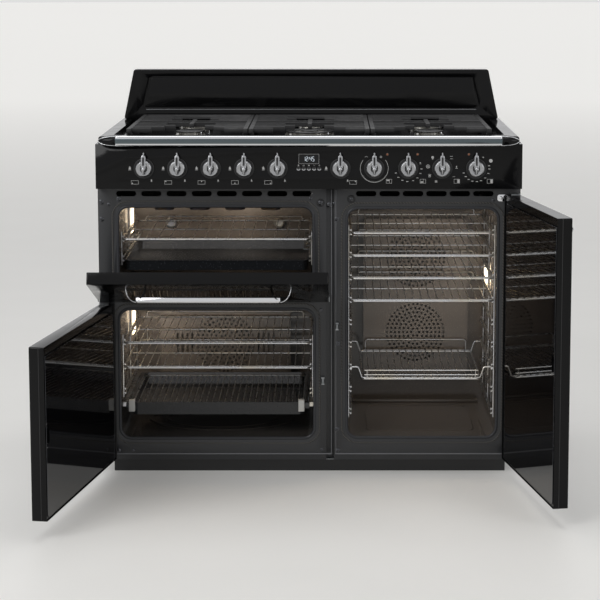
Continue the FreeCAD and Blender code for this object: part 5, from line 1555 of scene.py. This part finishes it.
def screw_head(radius):
    """Pan-head screw on the frame's face."""
    head = front_disc("frame_screw", radius, SCREW_DEPTH, (0, FRAME_FACE - SCREW_DEPTH / 2, 0), 24)
    pick(head, "FACE", front_face)
    bpy.ops.mesh.inset(thickness=1.2 * MM, depth=0.7 * MM)
    leave()
    return smooth(head, BENT_ANGLE)


def screw_cross():
    """Two dark bars that stand for a screw's cross recess: painted shade where the recess is."""
    bars = [block("cross", (-width, FRAME_FACE - 2.1 * MM, -height), (width, FRAME_FACE - MM, height))
            for width, height in CROSS_BARS]
    return join("cross", bars)


def hinge_fitting(x, z):
    """Bright hinge arm beside the tall oven: folded plate, two screw heads and a pin."""
    width, height = HINGE_ARM_HALF
    face = FRAME_FACE - HINGE_ARM_PROUD
    parts = [cornered_plate("hinge_arm", (x - width, face, z - height), (x + width, FRAME_FACE, z + height),
                            6 * MM, 0.6 * MM)]
    for side in (-1, 1):
        parts.append(stretched_ball("hinge_screw", 4.4 * MM, (x + side * 9 * MM, face, z), SCREW_DOME))
    pin = start("cylinder", "hinge_pin", radius=2.6 * MM, depth=22 * MM, vertices=32,
                location=(x + 22 * MM, FRAME_FACE - 1.2 * MM, z - 4 * MM))
    return parts + [soften(pin, 1.2 * MM, 3)]


class COOKER_OT_frame_fittings(CookerPiece, bpy.types.Operator):
    """Screws, washers, roller catches, hinge arm, and pale strips of painted highlight on the folded edges of
    the front frame
    """
    bl_idname = "cooker.frame_fittings"
    bl_label = "Front frame fittings"

    def execute(self, context):
        heads = [screw_head(radius) for radius in SCREW_RADII]
        cross = screw_cross()
        screws, recesses = [], []
        for number, (x, z) in enumerate(SCREWS):
            shift = (x * MM, 0, z * MM)
            screws.append(copied(heads[number % len(heads)], "frame_screw", shift))
            recesses.append(copied(cross, "cross", shift))
        washer = smooth(start("torus", "washer", major_radius=WASHER_RADIUS, minor_radius=WASHER_THICKNESS,
                              major_segments=40, minor_segments=10, location=(0, FRAME_FACE, 0),
                              rotation=FACING_FRONT), ROUND_ANGLE)
        recesses += [copied(washer, "washer", (x * MM, 0, z * MM)) for x, z in WASHERS]
        place(join("frame_screws", screws), "root", "dark screw")
        place(join("frame_screw_recesses", recesses), "root", "plastic")
        roller = stretched_ball("roller", MM, (0, FRAME_FACE - ROLLER_DEPTH, 0), ROLLER_SCALE, 32)
        parts = [copied(roller, "roller", (x * MM, 0, z * MM)) for x, z in CATCHES]
        parts += hinge_fitting(*HINGE_ARM)
        discard(*heads, cross, washer, roller)
        place(join("catches_and_hinge_arm", parts), "root", "bar chrome")
        # Pale strips along the frame's folded edges: painted highlights where the folds catch the light.
        edges = []
        for x in LEVEL_EDGES:
            edge = block("frame_edge", (x[0] * MM, FRAME_FACE - 1.9 * MM, LEVEL_EDGE_Z[0] * MM),
                         (x[1] * MM, FRAME_FACE, LEVEL_EDGE_Z[1] * MM))
            edges.append(soften(edge, 0.8 * MM, 3))
        for x in UPRIGHT_EDGES:
            edge = block("frame_edge", ((x - 0.9) * MM, FRAME_FACE - 1.8 * MM, UPRIGHT_EDGE_Z[0] * MM),
                         ((x + 0.9) * MM, FRAME_FACE, UPRIGHT_EDGE_Z[1] * MM))
            edges.append(soften(edge, 0.6 * MM))
        place(join("frame_edges", edges), "root", "edge enamel")
        return {"FINISHED"}


# ---- door trims ----
STRIKERS = {"tall_door": (397, -1), "main_door": (251, 1)}  # height in millimetres, way the free edge faces
STRIKER_IN = 11 * MM             # from the free edge to the plates' middles
STRIKER_UP = 28                  # of one plate over the catch's height, and of the other under it
STRIKER_HALF = (7 * MM, 9 * MM)  # half width and half height
EDGING_RADIUS, EDGING_CORNER = 0.8 * MM, 3 * MM
SEAM_Y = (22 * MM, 23.6 * MM)    # back from the door's face


class COOKER_OT_door_trims(CookerPiece, bpy.types.Operator):
    """Pane edging, seams, striker plates and their screws on the doors"""
    bl_idname = "cooker.door_trims"
    bl_label = "Door trims"

    def execute(self, context):
        for door in DOORS:
            x, y, z = shut_box(door + "_glass", door)
            edging = ring_tube(door + "_pane_edging", grown(x, EDGING_RADIUS), grown(z, EDGING_RADIUS),
                               y[1] - 0.5 * MM, EDGING_CORNER, EDGING_RADIUS, 4)
            place(opened(edging, door), door, "dark screw")
        for door, (height, out) in STRIKERS.items():
            x, y, z = shut_box(door + "_shell", door)
            free = x[0] if out < 0 else x[1]
            seam = block(door + "_seam", (free - 0.5 * MM, y[0] + SEAM_Y[0], z[0] + MM),
                         (free + 0.5 * MM, y[0] + SEAM_Y[1], z[1] - MM))
            place(opened(seam, door), door, "plastic")
            inner = free - out * STRIKER_IN
            width, half = STRIKER_HALF
            plate = cornered_plate("striker", (inner - width, y[1] - 0.5 * MM, -half),
                                   (inner + width, y[1] + 1.4 * MM, half), 4 * MM, 0.5 * MM)
            head = stretched_ball("striker_screw", 3.6 * MM, (inner, y[1] + 0.3 * MM, 0), SCREW_DOME)
            shifts = [(0, 0, (height + side * STRIKER_UP) * MM) for side in (-1, 1)]
            plates = join(door + "_striker", [copied(plate, "striker", shift) for shift in shifts])
            place(opened(plates, door), door, "plastic")
            heads = join(door + "_striker_screws", [copied(head, "striker_screw", shift) for shift in shifts])
            place(opened(heads, door), door, "bar chrome")
            discard(plate, head)
        return {"FINISHED"}


# ---- tray fittings ----
RUNNERS_X = (-471, -21.5)        # millimetres
RUNNER_BLOCK = ((-8 * MM, -243.5 * MM, 163 * MM), (8 * MM, -225 * MM, 194 * MM))
GRID_X, GRID_Y, GRID_HEIGHT = (-470 * MM, -16 * MM), (-222 * MM, 132 * MM), 181 * MM
GRID_WIRES = 27
WIRE_INSET, WIRE_RADIUS = 14 * MM, 1.3 * MM
GRID_CORNER, GRID_FRAME_RADIUS = 20 * MM, 2 * MM


class COOKER_OT_tray_fittings(CookerPiece, bpy.types.Operator):
    """Pale end blocks of the tray's runners and the wire grid in the tray"""
    bl_idname = "cooker.tray_fittings"
    bl_label = "Tray fittings"

    def execute(self, context):
        model = soften(block("runner_block", *RUNNER_BLOCK), 2 * MM, 3)
        blocks = [copied(model, "runner_block", (x * MM, 0, 0)) for x in RUNNERS_X]
        discard(model)
        place(join("runner_end_blocks", blocks), "main_tray", "pale plastic")
        first, last = grown(GRID_X, -WIRE_INSET)
        wire = line_tube("tray_grid_wire", [(first, y, GRID_HEIGHT) for y in GRID_Y], WIRE_RADIUS, 2)
        modify(wire, "ARRAY", count=GRID_WIRES, use_relative_offset=False, use_constant_offset=True,
               constant_offset_displace=((last - first) / (GRID_WIRES - 1), 0, 0))
        edge_wire = ring_tube("tray_grid_frame", GRID_X, GRID_Y, 0, GRID_CORNER, GRID_FRAME_RADIUS)
        edge_wire.matrix_world = Matrix.Translation((0, 0, GRID_HEIGHT)) @ LAID_DOWN
        place(join("tray_grid", [wire, settle(edge_wire)]), "main_tray", "wire chrome")
        return {"FINISHED"}


OPERATORS = (COOKER_OT_stage, COOKER_OT_finishes, COOKER_OT_knobs, COOKER_OT_buttons,
             COOKER_OT_panel_print, COOKER_OT_pilots, COOKER_OT_handles, COOKER_OT_towel_rail,
             COOKER_OT_pressed_steel, COOKER_OT_burners, COOKER_OT_oven_mouths, COOKER_OT_oven_lamps,
             COOKER_OT_oven_fittings, COOKER_OT_frame_fittings, COOKER_OT_door_trims,
             COOKER_OT_tray_fittings)


class COOKER_PT_looks(bpy.types.Panel):
    """Lists the pieces of the cooker that can be made"""
    bl_label = "Range cooker"
    bl_idname = "COOKER_PT_looks"
    bl_space_type = "VIEW_3D"
    bl_region_type = "UI"
    bl_category = "Cooker"

    def draw(self, context):
        for operator in OPERATORS:
            self.layout.operator(operator.bl_idname)
        for group in (context.scene.cooker_sizes, context.scene.cooker_colours):
            for name in group.bl_rna.properties.keys():
                if name not in ("rna_type", "name"):
                    self.layout.prop(group, name)


CLASSES = (CookerSizes, CookerColours) + OPERATORS + (COOKER_PT_looks,)


def register():
    for each in CLASSES:
        bpy.utils.register_class(each)
    bpy.types.Scene.cooker_sizes = bpy.props.PointerProperty(type=CookerSizes)
    bpy.types.Scene.cooker_colours = bpy.props.PointerProperty(type=CookerColours)


def unregister():
    del bpy.types.Scene.cooker_colours
    del bpy.types.Scene.cooker_sizes
    for each in reversed(CLASSES):
        bpy.utils.unregister_class(each)


def main():
    register()
    for operator in OPERATORS:
        group, name = operator.bl_idname.split(".")
        getattr(getattr(bpy.ops, group), name)()
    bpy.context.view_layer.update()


if __name__ == "__main__":
    main()
